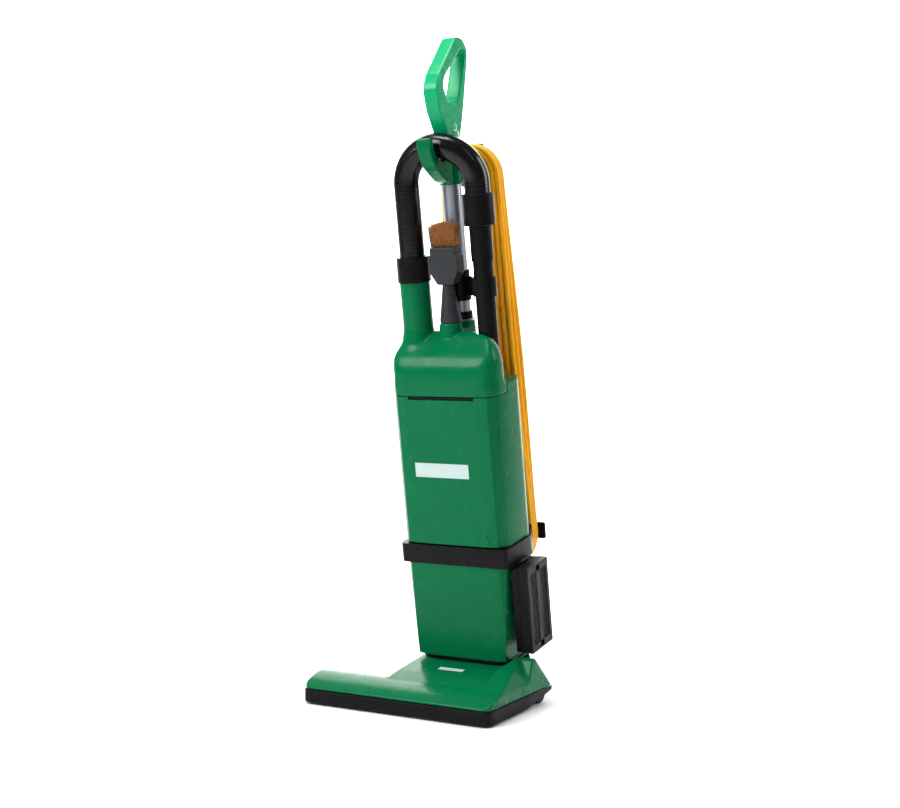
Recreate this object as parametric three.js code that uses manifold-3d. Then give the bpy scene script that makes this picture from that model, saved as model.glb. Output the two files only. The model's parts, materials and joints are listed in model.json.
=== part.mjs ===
// Upright vacuum cleaner: a wide floor head on wheels, a leaning tower with a bag door,
// an on-board hose, wand and tools, and a handle with the mains cord wound at the back.
// Millimetres, +Z up, the head's front faces -Y.
import * as THREE from 'three';
import { mergeVertices } from 'three/addons/utils/BufferGeometryUtils.js';
import Module from 'manifold-3d';

const wasm = await Module();
wasm.setup();

// ---- driving sizes -------------------------------------------------------------------
const GAP = 0.3; // clearance between touching pieces
const WALL = 3; // wall of the mouldings

// floor head
const HEAD_WIDTH = 383;
const HEAD_DEPTH = 258;
const ARM_DEPTH = 151;
const BASE_BOTTOM = 5.3;
const BASE_TOP = 27;
const CORNER = 18;
const BUMPER_THICK = 6;
const BUMPER_BOTTOM = 3;
const BRUSH_RADIUS = 20;
const BRUSH_CORE = 14;
const BRUSH_Y = 45;
const BRUSH_Z = BRUSH_RADIUS + 3.5;
const BEARING_RADIUS = 12;
const ARM_TOP = BRUSH_Z + BRUSH_RADIUS + 7.5; // the arm's top, over the brush
const PULLEY_RADIUS = 9;
const BELT_THICK = 2;
const BELT_WIDTH = 9;
const MOTOR_RADIUS = 19;
const MOTOR_Y = 158;
const MOTOR_Z = 45;
const WHEEL_RADIUS = 22;
const WHEEL_WIDTH = 20;
const WHEEL_Y = 213;
const AXLE_RADIUS = 4;
const ROLLER_RADIUS = 11;
const ROLLER_WIDTH = 14;
const ROLLER_Y = 120;

// tower
const TOWER_SHIFT = 53.5; // the tower stands right of the head's middle
const TOWER_Y = 155;
const TOWER_Z = 80;
const LEAN = THREE.MathUtils.degToRad(9.5);
const TOWER_WIDTH = 208;
const TOWER_DEPTH = 165;
const SIDE_DEPTH = 100; // the flat side, before the back corners are cut off
const BACK_CUT = 32;
const FRONT_ROUND = 30;
const FOOT_WIDTH = 179;
const PIVOT_V = 82.5;
const PIVOT_U = -22;
const NECK_RADIUS = 40;
const NECK_WIDTH = 130;
const TRUNNION_RADIUS = 5;
const COLLAR_THICK = 5.7;
const MOTOR_HEIGHT = 175;
const BAND_HEIGHT = 35;
const DOOR_HEIGHT = 272;
const DOOR_WRAP = 18; // how far the door reaches round the corner
const CAP_HEIGHT = 124;
const CAP_DEPTH = 60;
const BACK_STEP = 16; // the rear housing stands this much above the door

// hose, wand and tools
const HOSE_RADIUS = 23;
const HOSE_X = -65;
const HOSE_V = 57;
const WAND_RADIUS = 18;
const WAND_X = 67;
const WAND_V = 73;
const ARCH_HEIGHT = 434; // hose crown above the parting line
const TUBE_RADIUS = 17.5;
const CLAMP_WALL = 4; // wall of the clamps round the handle tube
const TUBE_V = HOSE_V + HOSE_RADIUS + CLAMP_WALL + TUBE_RADIUS + 1.5; // clears the hose in front
const TUBE_HEIGHT = 446; // tube's upper end above the parting line
const TOOL_V = 62;
const TOOL_HEIGHT = 66;
const BRUSH_HEAD_HEIGHT = 66;
const BRUSH_HEAD_WIDTH = 56;
const BRUSH_HEAD_DEPTH = 28;
const BRISTLE_HEIGHT = 42;
const GRIP_WIDTH = 30;
const GRIP_HEIGHT = 178;

// exhaust filter box
const FILTER_WIDTH = 33;
const FILTER_FRONT = 17;
const FILTER_BACK = 99;
const FILTER_BOTTOM = 15;
const FILTER_TOP = 172;

// mains cord
const CORD = 8.5;
const CORD_PITCH = CORD + 0.2;
const SADDLE_RADIUS = 34;
const TURNS_DEEP = 3;
const TURNS_HIGH = 3;

// heights along the tower that follow from the sizes above
const BAND_U = MOTOR_HEIGHT;
const DOOR_U = BAND_U + BAND_HEIGHT;
const SEAM_U = DOOR_U + DOOR_HEIGHT;
const SHELF_U = SEAM_U + BACK_STEP;
const CROWN_U = SEAM_U + CAP_HEIGHT;
const TUBE_TOP_U = SEAM_U + TUBE_HEIGHT;
const ARCH_U = SEAM_U + ARCH_HEIGHT;
const GRIP_U = TUBE_TOP_U - 2;
const HALF = HEAD_WIDTH / 2;
const SIDE = TOWER_WIDTH / 2;
const FOOT = FOOT_WIDTH / 2;
const BACK_V = TOWER_DEPTH;
const PIVOT_Y = TOWER_Y - Math.sin(LEAN) * PIVOT_U + Math.cos(LEAN) * PIVOT_V;
const PIVOT_Z = TOWER_Z + Math.cos(LEAN) * PIVOT_U + Math.sin(LEAN) * PIVOT_V;

// ---- shape helpers -------------------------------------------------------------------
const FRAMES = {
  x: new THREE.Matrix4().makeBasis(
    new THREE.Vector3(0, 1, 0), new THREE.Vector3(0, 0, 1), new THREE.Vector3(1, 0, 0)),
  y: new THREE.Matrix4().makeBasis(
    new THREE.Vector3(1, 0, 0), new THREE.Vector3(0, 0, 1), new THREE.Vector3(0, -1, 0)),
  z: new THREE.Matrix4(),
};

function solid(geometry) {
  const bare = geometry.clone();
  bare.deleteAttribute('normal');
  bare.deleteAttribute('uv');
  const merged = mergeVertices(bare, 1e-4);
  return new wasm.Manifold(new wasm.Mesh({
    numProp: 3,
    vertProperties: Float32Array.from(merged.attributes.position.array),
    triVerts: Uint32Array.from(merged.index.array),
  }));
}

function surface(body) {
  const mesh = body.getMesh();
  const geometry = new THREE.BufferGeometry();
  geometry.setAttribute('position', new THREE.BufferAttribute(mesh.vertProperties, 3));
  geometry.setIndex(new THREE.BufferAttribute(mesh.triVerts, 1));
  geometry.computeVertexNormals();
  return geometry;
}

// An outline's points are [a, b] or [a, b, cutback]; a cutback rounds the corner.
function outline(points) {
  const shape = new THREE.Shape();
  const count = points.length;
  points.forEach(([a, b, cutback = 0], index) => {
    const here = new THREE.Vector2(a, b);
    const last = new THREE.Vector2(...points[(index + count - 1) % count]);
    const next = new THREE.Vector2(...points[(index + 1) % count]);
    const back = here.clone().lerp(last, Math.min(0.49, cutback / here.distanceTo(last)));
    const ahead = here.clone().lerp(next, Math.min(0.49, cutback / here.distanceTo(next)));
    if (index === 0) shape.moveTo(back.x, back.y);
    else shape.lineTo(back.x, back.y);
    if (cutback > 0) shape.quadraticCurveTo(a, b, ahead.x, ahead.y);
  });
  shape.closePath();
  return shape;
}

function inset(points, distance) {
  const count = points.length;
  const turn = Math.sign(THREE.ShapeUtils.area(points.map(([x, y]) => new THREE.Vector2(x, y))));
  const normal = (index) => {
    const [a, b] = points[(index + count) % count];
    const [c, d] = points[(index + 1 + count) % count];
    return new THREE.Vector2(-(d - b) * turn, (c - a) * turn).normalize();
  };
  return points.map(([a, b, cutback = 0], index) => {
    const before = normal(index - 1);
    const after = normal(index);
    const reach = distance / (1 + before.dot(after));
    return [a + (before.x + after.x) * reach, b + (before.y + after.y) * reach,
      Math.max(0, cutback - distance * 0.6)];
  });
}

// A straight prism: its outline lies across the axis, in the order (y,z), (x,z) or (x,y).
function prism(axis, points, from, to) {
  const geometry = new THREE.ExtrudeGeometry(outline(points),
    { depth: to - from, bevelEnabled: false, curveSegments: 3 });
  geometry.translate(0, 0, axis === 'y' ? -to : from);
  return solid(geometry.applyMatrix4(FRAMES[axis]));
}

function box(x0, x1, y0, y1, z0, z1) {
  const geometry = new THREE.BoxGeometry(x1 - x0, y1 - y0, z1 - z0);
  geometry.translate((x0 + x1) / 2, (y0 + y1) / 2, (z0 + z1) / 2);
  return solid(geometry);
}

// A round bar or cone along an axis, centred at (a, b) across it.
function rod(axis, a, b, from, to, radius, endRadius = radius, sides = 20) {
  const turned = axis === 'y';
  const geometry = new THREE.CylinderGeometry(turned ? radius : endRadius,
    turned ? endRadius : radius, to - from, sides);
  geometry.rotateX(Math.PI / 2);
  geometry.translate(a, b, (turned ? -1 : 1) * (from + to) / 2);
  return solid(geometry.applyMatrix4(FRAMES[axis]));
}

// The outline of a loop pulled round two circles.
function loop(p, rp, q, rq, steps = 12) {
  const along = Math.atan2(q[1] - p[1], q[0] - p[0]);
  const touch = Math.acos((rp - rq) / Math.hypot(q[0] - p[0], q[1] - p[1]));
  const arc = (centre, radius, from, to) => Array.from({ length: steps + 1 }, (_, index) => {
    const angle = from + (to - from) * index / steps;
    return [centre[0] + radius * Math.cos(angle), centre[1] + radius * Math.sin(angle)];
  });
  return [...arc(q, rq, along - touch, along + touch),
    ...arc(p, rp, along + touch, along + 2 * Math.PI - touch)];
}

function sweep(points, radius, steps, sides = 10) {
  const path = new THREE.CatmullRomCurve3(points.map((p) => new THREE.Vector3(...p)), false,
    'centripetal');
  const ring = new THREE.Shape(Array.from({ length: sides }, (_, index) => {
    const angle = 2 * Math.PI * index / sides;
    return new THREE.Vector2(radius * Math.cos(angle), radius * Math.sin(angle));
  }));
  return solid(new THREE.ExtrudeGeometry(ring, { steps, extrudePath: path, bevelEnabled: false }));
}

const join = (...bodies) => wasm.Manifold.union(bodies);
const common = (...bodies) => wasm.Manifold.intersection(bodies);
const less = (body, ...cuts) => wasm.Manifold.difference([body, ...cuts]);

const LOOKS = {
  green: { color: 0x00875a, roughness: 0.32, metalness: 0 },
  black: { color: 0x17181a, roughness: 0.55, metalness: 0 },
  rubber: { color: 0x101113, roughness: 0.85, metalness: 0 },
  grey: { color: 0x46494e, roughness: 0.5, metalness: 0 },
  steel: { color: 0xa7acb2, roughness: 0.35, metalness: 0.9 },
  aluminium: { color: 0xa6acb6, roughness: 0.35, metalness: 0.9 },
  cord: { color: 0xff9d0a, roughness: 0.55, metalness: 0 },
  bristle: { color: 0x9c643a, roughness: 0.9, metalness: 0 },
  white: { color: 0xd9dcda, roughness: 0.5, metalness: 0 },
  paper: { color: 0xd8cdb4, roughness: 0.95, metalness: 0 },
};

function add(group, name, body, look) {
  const mesh = new THREE.Mesh(surface(body), new THREE.MeshStandardMaterial(LOOKS[look]));
  mesh.name = name;
  group.add(mesh);
  return mesh;
}

const machine = new THREE.Group();
machine.name = 'machine';
const head = new THREE.Group();
head.name = 'floor_head';
const tower = new THREE.Group();
tower.name = 'tower';
tower.position.set(TOWER_SHIFT, TOWER_Y, TOWER_Z);
tower.rotation.x = LEAN;
machine.add(head, tower);

// ---- floor head ----------------------------------------------------------------------
const LEFT = TOWER_SHIFT - 140;
const RAMP_LEFT = TOWER_SHIFT - 103;
const RAMP_RIGHT = TOWER_SHIFT + FOOT + 2;
const ROLL_LEFT = -HALF + 18;
const ROLL_RIGHT = HALF - 36;
const BELT_X = HALF - 26;
const COVER_Z = BASE_TOP + GAP;
const LEFT_WHEEL_X = TOWER_SHIFT - 121;
const RIGHT_WHEEL_X = HALF - 7 - WHEEL_WIDTH / 2;
const ROLLER_X = HALF - 50;
const MOUTH_FRONT = BRUSH_Y - BRUSH_RADIUS - 8;
const MOUTH_BACK = BRUSH_Y + BRUSH_RADIUS + 8;

const frontPlan = [[-HALF, 0, CORNER], [HALF, 0, CORNER], [HALF, ARM_DEPTH], [-HALF, ARM_DEPTH]];
const innerPlan = inset(frontPlan, BUMPER_THICK);

// The rubber bumper wraps the front and both sides of the black base.
const bumper = less(prism('z', frontPlan, BUMPER_BOTTOM, BASE_TOP),
  prism('z', innerPlan, BUMPER_BOTTOM - 1, BASE_TOP + 1),
  box(-HALF + BUMPER_THICK, HALF - BUMPER_THICK, ARM_DEPTH / 2, ARM_DEPTH + 1, 0, BASE_TOP + 1));
add(head, 'front_bumper', bumper, 'rubber');

// The base tray: brush tunnel, wheel wells, roller pockets and the lugs of the tower's pivot.
const trayFront = common(prism('z', inset(innerPlan, GAP), BASE_BOTTOM, BASE_TOP),
  box(-HALF, HALF, 0, ARM_DEPTH - BUMPER_THICK - 1, 0, BASE_TOP));
const trayRear = common(
  prism('x', [[ARM_DEPTH - 30, BASE_BOTTOM], [ARM_DEPTH, BASE_BOTTOM], [HEAD_DEPTH - 14, 20],
    [HEAD_DEPTH - 12, BASE_TOP], [ARM_DEPTH - 30, BASE_TOP]], LEFT, HALF),
  join(box(LEFT, HALF - BUMPER_THICK - GAP, ARM_DEPTH - 30, HEAD_DEPTH, 0, 40),
    box(HALF - BUMPER_THICK - 2, HALF, ARM_DEPTH + GAP, HEAD_DEPTH, 0, 40)));
const wheelBracket = (x) => common(box(x, x + 4, WHEEL_Y - 12, WHEEL_Y + 12, 14, WHEEL_RADIUS + 10),
  box(x, x + 4, 0, HEAD_DEPTH, 14, COVER_Z + 40));
const bracketOffset = WHEEL_WIDTH / 2 + 1.5;
const cheek = (x) => join(
  box(x, x + 12, PIVOT_Y - 8, PIVOT_Y + 8, BASE_TOP - 6, PIVOT_Z),
  rod('x', PIVOT_Y, PIVOT_Z, x, x + 12, 8, 8, 16));
const well = (x) => box(x - WHEEL_WIDTH / 2 - 1, x + WHEEL_WIDTH / 2 + 1,
  WHEEL_Y - WHEEL_RADIUS - 2, WHEEL_Y + WHEEL_RADIUS + 2, 0, BASE_TOP + 30);
const pocket = (x) => join(
  box(x - ROLLER_WIDTH / 2 - 1, x + ROLLER_WIDTH / 2 + 1, ROLLER_Y - ROLLER_RADIUS - 2,
    ROLLER_Y + ROLLER_RADIUS + 2, 0, ROLLER_RADIUS * 2 + 2),
  rod('x', ROLLER_Y, ROLLER_RADIUS, x - ROLLER_WIDTH / 2 - 5, x + ROLLER_WIDTH / 2 + 5, 3 + GAP,
    3 + GAP, 12));
const lugX = TOWER_SHIFT - 122;
const PEDAL_HALF = 12.5;
const PEDAL_Y = HEAD_DEPTH - 8;
const PEDAL_Z = 24;
const lug = (x) => join(box(x, x + 4, HEAD_DEPTH - 18, PEDAL_Y, 20, BASE_TOP),
  rod('x', PEDAL_Y, PEDAL_Z, x, x + 4, 4.5, 4.5, 16));
const tray = less(
  join(trayFront, trayRear,
    wheelBracket(LEFT_WHEEL_X - bracketOffset - 4), wheelBracket(LEFT_WHEEL_X + bracketOffset),
    wheelBracket(RIGHT_WHEEL_X - bracketOffset - 4),
    cheek(TOWER_SHIFT - NECK_WIDTH / 2 - 14), cheek(TOWER_SHIFT + NECK_WIDTH / 2 + 2),
    lug(lugX - PEDAL_HALF - 4.5), lug(lugX + PEDAL_HALF + 0.5)),
  box(ROLL_LEFT - 2, ROLL_RIGHT + 2, MOUTH_FRONT, MOUTH_BACK, 0, BASE_TOP + 1),
  box(-HALF + 8.7, HALF - 12, BRUSH_Y - BEARING_RADIUS - 0.5, BRUSH_Y + BEARING_RADIUS + 0.5,
    BRUSH_Z - BEARING_RADIUS - 1.5, BASE_TOP + 1),
  box(BELT_X - 1.5, BELT_X + BELT_WIDTH + 2, BRUSH_Y - PULLEY_RADIUS - 4, MOTOR_Y + PULLEY_RADIUS + 5,
    BRUSH_Z - PULLEY_RADIUS - 4.5, BASE_TOP + 1),
  rod('x', MOTOR_Y, MOTOR_Z, TOWER_SHIFT - 60, BELT_X, MOTOR_RADIUS + GAP),
  well(LEFT_WHEEL_X), well(RIGHT_WHEEL_X), pocket(-ROLLER_X), pocket(ROLLER_X),
  rod('x', WHEEL_Y, WHEEL_RADIUS, LEFT - 1, HALF - 5, AXLE_RADIUS + GAP, AXLE_RADIUS + GAP, 16),
  rod('x', PIVOT_Y, PIVOT_Z, TOWER_SHIFT - NECK_WIDTH, TOWER_SHIFT + NECK_WIDTH,
    TRUNNION_RADIUS + GAP, TRUNNION_RADIUS + GAP, 16),
  rod('x', PEDAL_Y, PEDAL_Z, lugX - PEDAL_HALF - 8, lugX + PEDAL_HALF + 8, 2.5 + GAP, 2.5 + GAP, 12));
add(head, 'head_chassis', tray, 'black');

// The cover: a low rounded arm, a ramp up to the tower and a block over the right wheel.
// The inner skin of the cover starts lower, so that the cover stays open underneath.
// Its back slopes down just outside the rear wheels.
const RAMP_START = 34;
const RAMP_BREAK = TOWER_Y - 60;
const BACK_EDGE = HEAD_DEPTH - 14;
const BACK_SLOPE = THREE.MathUtils.degToRad(42.2);
const WHEEL_ROOM = WHEEL_RADIUS + 4.2;
const backSlope = (y) => Math.max(COVER_Z + 2, WHEEL_RADIUS
  + (WHEEL_ROOM - (y - WHEEL_Y) * Math.sin(BACK_SLOPE)) / Math.cos(BACK_SLOPE));
const coverForm = (skin) => {
  const low = COVER_Z - 4 * skin;
  const arm = [[2, low], [2, COVER_Z + 5, 3], [22, ARM_TOP - 8, 9], [52, ARM_TOP, 14],
    [76, ARM_TOP - 1, 14], [112, ARM_TOP - 11, 14], [ARM_DEPTH - 4, COVER_Z + 3, 3],
    [ARM_DEPTH - 4, low]];
  const ramp = [[RAMP_START, low], [RAMP_START, ARM_TOP - 6], [RAMP_BREAK, ARM_TOP + 10, 8],
    [TOWER_Y, TOWER_Z - 8.5], [PIVOT_Y - 14, PIVOT_Z + 10, 8], [PIVOT_Y + 5, PIVOT_Z + 12.5, 6],
    [PIVOT_Y + 14.5, PIVOT_Z + 1, 5], [HEAD_DEPTH, PIVOT_Z - 24], [HEAD_DEPTH, low]];
  const rampFront = [[RAMP_LEFT, low], [RAMP_LEFT, ARM_TOP - 5, 6], [RAMP_LEFT + 14, TOWER_Z - 2],
    [RAMP_LEFT + 14, TOWER_Z + 30], [RAMP_RIGHT + 2 * skin, TOWER_Z + 30],
    [RAMP_RIGHT + 2 * skin, low]];
  const ridge = [[RAMP_START, low], [RAMP_START, ARM_TOP - 6], [RAMP_BREAK, ARM_TOP + 13, 8],
    [TOWER_Y + 4, TOWER_Z + 5, 6], [TOWER_Y + 22, backSlope(TOWER_Y + 22), 8],
    [BACK_EDGE, backSlope(BACK_EDGE)], [BACK_EDGE, low]];
  const ridgeFront = [[RAMP_RIGHT - 4, low], [RAMP_RIGHT - 4, TOWER_Z - 8],
    [RAMP_RIGHT + 16, TOWER_Z + 12, 6], [HALF - 1, ARM_TOP - 2, 4], [HALF - 1, low]];
  const block = [[ARM_DEPTH - 18, low], [ARM_DEPTH - 18, ARM_TOP - 3], [ARM_DEPTH + 2, ARM_TOP + 1, 3],
    [TOWER_Y + 14, TOWER_Z + 7, 6], [TOWER_Y + 22, backSlope(TOWER_Y + 22), 6],
    [BACK_EDGE, backSlope(BACK_EDGE)], [BACK_EDGE, low]];
  const arch = loop([WHEEL_Y, WHEEL_RADIUS], WHEEL_RADIUS + 5, [WHEEL_Y, WHEEL_RADIUS - 9],
    WHEEL_RADIUS + 5, 8);
  const wide = box(-HALF, HALF, 0, HEAD_DEPTH, low, TOWER_Z + 40);
  return join(
    common(prism('x', inset(arm, skin), -HALF + 1 + skin, HALF - 1 - skin),
      prism('z', inset(frontPlan, 1.5 + skin), low, ARM_TOP + 9)),
    common(prism('x', inset(ramp, skin), RAMP_LEFT + skin, RAMP_RIGHT + 2 * skin),
      prism('y', inset(rampFront, skin), 0, HEAD_DEPTH)),
    common(prism('x', inset(ridge, skin), RAMP_RIGHT - 6, HALF - 1 - skin),
      prism('y', inset(ridgeFront, skin), 0, HEAD_DEPTH)),
    prism('x', inset(block, skin), RAMP_RIGHT + 16 + skin, HALF - skin),
    common(prism('x', inset(arch, skin), LEFT + skin, RAMP_LEFT + 4 + skin), wide));
};
const neckSpace = NECK_WIDTH / 2 + 1.5;
const cover = less(coverForm(0), coverForm(WALL),
  rod('x', PIVOT_Y, PIVOT_Z, TOWER_SHIFT - neckSpace, TOWER_SHIFT + neckSpace, NECK_RADIUS + 2,
    NECK_RADIUS + 2, 32),
  box(TOWER_SHIFT - neckSpace, TOWER_SHIFT + neckSpace, PIVOT_Y, HEAD_DEPTH + 1, COVER_Z + 4,
    TOWER_Z + 30));
add(head, 'head_cover', cover, 'green');

// A small plain name plate on the ramp.
const rampRise = (TOWER_Z - 8.5 - ARM_TOP - 10) / (TOWER_Y - RAMP_BREAK);
const onRamp = (y, lift) => [y - rampRise * lift, ARM_TOP + 10 + (y - RAMP_BREAK) * rampRise + lift];
const BADGE_Y = RAMP_BREAK + 17;
add(head, 'head_badge', prism('x', [onRamp(BADGE_Y, GAP), onRamp(BADGE_Y + 10, GAP),
  onRamp(BADGE_Y + 10, 1.2), onRamp(BADGE_Y, 1.2)], TOWER_SHIFT - 25, TOWER_SHIFT + 25), 'white');

// The sole plate under the tray, open over the brush.
const sole = less(common(prism('z', inset(innerPlan, 3), BASE_BOTTOM - GAP - 2, BASE_BOTTOM - GAP),
  box(-HALF, HALF, 0, 98, 0, BASE_BOTTOM)),
  box(ROLL_LEFT, ROLL_RIGHT, MOUTH_FRONT + 2, MOUTH_BACK - 2, 0, BASE_BOTTOM));
add(head, 'sole_plate', sole, 'steel');

// The brush roll, its bristle strips, bearings, drive belt and motor.
add(head, 'brush_roll', join(
  rod('x', BRUSH_Y, BRUSH_Z, ROLL_LEFT, ROLL_RIGHT, BRUSH_CORE, BRUSH_CORE, 16),
  rod('x', BRUSH_Y, BRUSH_Z, ROLL_LEFT - 8, BELT_X + BELT_WIDTH + 1, 5, 5, 12),
  rod('x', BRUSH_Y, BRUSH_Z, BELT_X, BELT_X + BELT_WIDTH, PULLEY_RADIUS, PULLEY_RADIUS, 20)), 'black');
const STRIP_COUNT = 4;
const stripRing = Array.from({ length: STRIP_COUNT * 4 }, (_, index) => {
  const angle = 2 * Math.PI * index / (STRIP_COUNT * 4) + (index % 4 === 1 ? -0.2 : 0)
    + (index % 4 === 2 ? -0.4 : 0);
  const radius = index % 4 === 1 || index % 4 === 2 ? BRUSH_RADIUS : BRUSH_CORE + 2.2;
  return [radius * Math.cos(angle), radius * Math.sin(angle)];
});
const ROLL_LENGTH = ROLL_RIGHT - ROLL_LEFT - 8;
const stripForm = new THREE.ExtrudeGeometry(outline(stripRing),
  { depth: ROLL_LENGTH, steps: 7, bevelEnabled: false });
const places = stripForm.attributes.position;
for (let index = 0; index < places.count; index += 1) {
  const twist = 1.6 * places.getZ(index) / ROLL_LENGTH;
  const spot = new THREE.Vector2(places.getX(index), places.getY(index))
    .rotateAround(new THREE.Vector2(), twist);
  places.setXY(index, spot.x, spot.y);
}
stripForm.translate(BRUSH_Y, BRUSH_Z, ROLL_LEFT + 4);
add(head, 'brush_strips', less(solid(stripForm.applyMatrix4(FRAMES.x)),
  rod('x', BRUSH_Y, BRUSH_Z, ROLL_LEFT - 1, ROLL_RIGHT + 1, BRUSH_CORE + GAP, BRUSH_CORE + GAP, 16)),
'bristle');
const bearing = (x, width) => less(rod('x', BRUSH_Y, BRUSH_Z, x, x + width, BEARING_RADIUS, BEARING_RADIUS, 20),
  rod('x', BRUSH_Y, BRUSH_Z, x - 1, x + width + 1, 5 + GAP, 5 + GAP, 12));
add(head, 'bearing_left', bearing(-HALF + 9, 7), 'grey');
add(head, 'bearing_right', bearing(ROLL_RIGHT + 1, 7), 'grey');
const roll = [BRUSH_Y, BRUSH_Z];
const shaft = [MOTOR_Y, MOTOR_Z];
add(head, 'drive_belt', less(
  prism('x', loop(roll, PULLEY_RADIUS + BELT_THICK + GAP, shaft, PULLEY_RADIUS + BELT_THICK + GAP, 6),
    BELT_X + 0.5, BELT_X + BELT_WIDTH - 0.5),
  prism('x', loop(roll, PULLEY_RADIUS + 0.9, shaft, PULLEY_RADIUS + 0.9, 6), BELT_X - 1,
    BELT_X + BELT_WIDTH + 1)), 'rubber');
add(head, 'motor_pulley', join(
  rod('x', MOTOR_Y, MOTOR_Z, BELT_X, BELT_X + BELT_WIDTH, PULLEY_RADIUS, PULLEY_RADIUS, 20),
  rod('x', MOTOR_Y, MOTOR_Z, TOWER_SHIFT + 68 + GAP, BELT_X + 1, 4, 4, 12)), 'steel');
add(head, 'brush_motor', join(
  rod('x', MOTOR_Y, MOTOR_Z, TOWER_SHIFT - 57, TOWER_SHIFT + 56, MOTOR_RADIUS),
  rod('x', MOTOR_Y, MOTOR_Z, TOWER_SHIFT + 55, TOWER_SHIFT + 68, 10, 8, 16)), 'grey');

// Wheels, axles and front rollers.
const wheel = (side, x) => {
  const from = x - WHEEL_WIDTH / 2;
  const to = x + WHEEL_WIDTH / 2;
  const rim = WHEEL_RADIUS - 6;
  add(head, `rear_wheel_${side}`, less(rod('x', WHEEL_Y, WHEEL_RADIUS, from, to, rim),
    rod('x', WHEEL_Y, WHEEL_RADIUS, from - 1, to + 1, AXLE_RADIUS + GAP, AXLE_RADIUS + GAP, 16)),
  'grey');
  add(head, `rear_tyre_${side}`, less(rod('x', WHEEL_Y, WHEEL_RADIUS, from, to, WHEEL_RADIUS,
    WHEEL_RADIUS, 32), rod('x', WHEEL_Y, WHEEL_RADIUS, from - 1, to + 1, rim + GAP)), 'rubber');
};
wheel('left', LEFT_WHEEL_X);
wheel('right', RIGHT_WHEEL_X);
add(head, 'axle_left', rod('x', WHEEL_Y, WHEEL_RADIUS, LEFT_WHEEL_X - bracketOffset - 3.5,
  LEFT_WHEEL_X + bracketOffset + 4, AXLE_RADIUS, AXLE_RADIUS, 16), 'steel');
add(head, 'axle_right', rod('x', WHEEL_Y, WHEEL_RADIUS, RIGHT_WHEEL_X - bracketOffset - 4,
  RIGHT_WHEEL_X + WHEEL_WIDTH / 2 + 2, AXLE_RADIUS, AXLE_RADIUS, 16), 'steel');
const roller = (x) => join(
  rod('x', ROLLER_Y, ROLLER_RADIUS, x - ROLLER_WIDTH / 2, x + ROLLER_WIDTH / 2, ROLLER_RADIUS,
    ROLLER_RADIUS, 28),
  rod('x', ROLLER_Y, ROLLER_RADIUS, x - ROLLER_WIDTH / 2 - 4.5, x + ROLLER_WIDTH / 2 + 4.5, 3, 3, 12));
add(head, 'front_roller_left', roller(-ROLLER_X), 'black');
add(head, 'front_roller_right', roller(ROLLER_X), 'black');

// The foot pedal that lets the tower lean back.
add(head, 'release_pedal', join(
  rod('x', PEDAL_Y, PEDAL_Z, lugX - PEDAL_HALF, lugX + PEDAL_HALF, 4, 4, 16),
  rod('x', PEDAL_Y, PEDAL_Z, lugX - PEDAL_HALF - 4.2, lugX + PEDAL_HALF + 4.2, 2.5, 2.5, 12),
  prism('x', [[PEDAL_Y, PEDAL_Z - 2], [PEDAL_Y + 24, PEDAL_Z + 2], [PEDAL_Y + 26, PEDAL_Z + 5, 1.5],
    [PEDAL_Y + 22, PEDAL_Z + 7, 1.5], [PEDAL_Y, PEDAL_Z + 3]], lugX - PEDAL_HALF,
  lugX + PEDAL_HALF)), 'black');

// ---- tower ---------------------------------------------------------------------------
const plan = (half, grow = 0, round = FRONT_ROUND) => [
  [-half - grow, -grow, round], [half + grow, -grow, round], [half + grow, SIDE_DEPTH, 8],
  [half + grow - BACK_CUT, BACK_V + grow, 8], [-half - grow + BACK_CUT, BACK_V + grow, 8],
  [-half - grow, SIDE_DEPTH, 8]];

// The neck turns in the head and carries the tower on a thin collar.
const neckPlate = common(prism('z', plan(FOOT), -COLLAR_THICK - GAP, -GAP),
  box(-FOOT, FOOT, 0, 118, -20, 20));
add(tower, 'neck', join(neckPlate,
  common(rod('x', PIVOT_V, PIVOT_U, -NECK_WIDTH / 2, NECK_WIDTH / 2, NECK_RADIUS, NECK_RADIUS, 36),
    box(-NECK_WIDTH, NECK_WIDTH, 0, BACK_V, PIVOT_U - NECK_RADIUS, -COLLAR_THICK)),
  rod('x', PIVOT_V, PIVOT_U, -NECK_WIDTH / 2 - 12, NECK_WIDTH / 2 + 12, TRUNNION_RADIUS,
    TRUNNION_RADIUS, 16)), 'black');

// The lower housing widens upwards and is cut away at the back so that it clears the floor.
const lowerFront = [[-FOOT, 0], [FOOT, 0], [SIDE - 4, BAND_U - GAP], [-SIDE + 4, BAND_U - GAP]];
const lowerSide = [[0, 0], [116, 0], [BACK_V, 70, 10], [BACK_V, BAND_U - GAP], [0, BAND_U - GAP]];
const DUCT_V = 58;
const DUCT_U = 92;
const DUCT_RADIUS = 17;
const lower = less(
  common(prism('z', plan(SIDE), 0, BAND_U), prism('y', lowerFront, -1, BACK_V + 1),
    prism('x', lowerSide, -SIDE, SIDE)),
  common(prism('z', inset(plan(SIDE), WALL), WALL, BAND_U + 1),
    prism('y', inset([[-FOOT, 0], [FOOT, 0], [SIDE - 3, BAND_U + 8], [-SIDE + 3, BAND_U + 8]], WALL),
      0, BACK_V),
    prism('x', inset([[0, 0], [116, 0], [BACK_V, 70, 10], [BACK_V, BAND_U + 8], [0, BAND_U + 8]],
      WALL), -SIDE, SIDE)),
  rod('x', DUCT_V, DUCT_U, FOOT - 10, SIDE + 5, DUCT_RADIUS + 0.5));
add(tower, 'motor_housing', lower, 'green');

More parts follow.
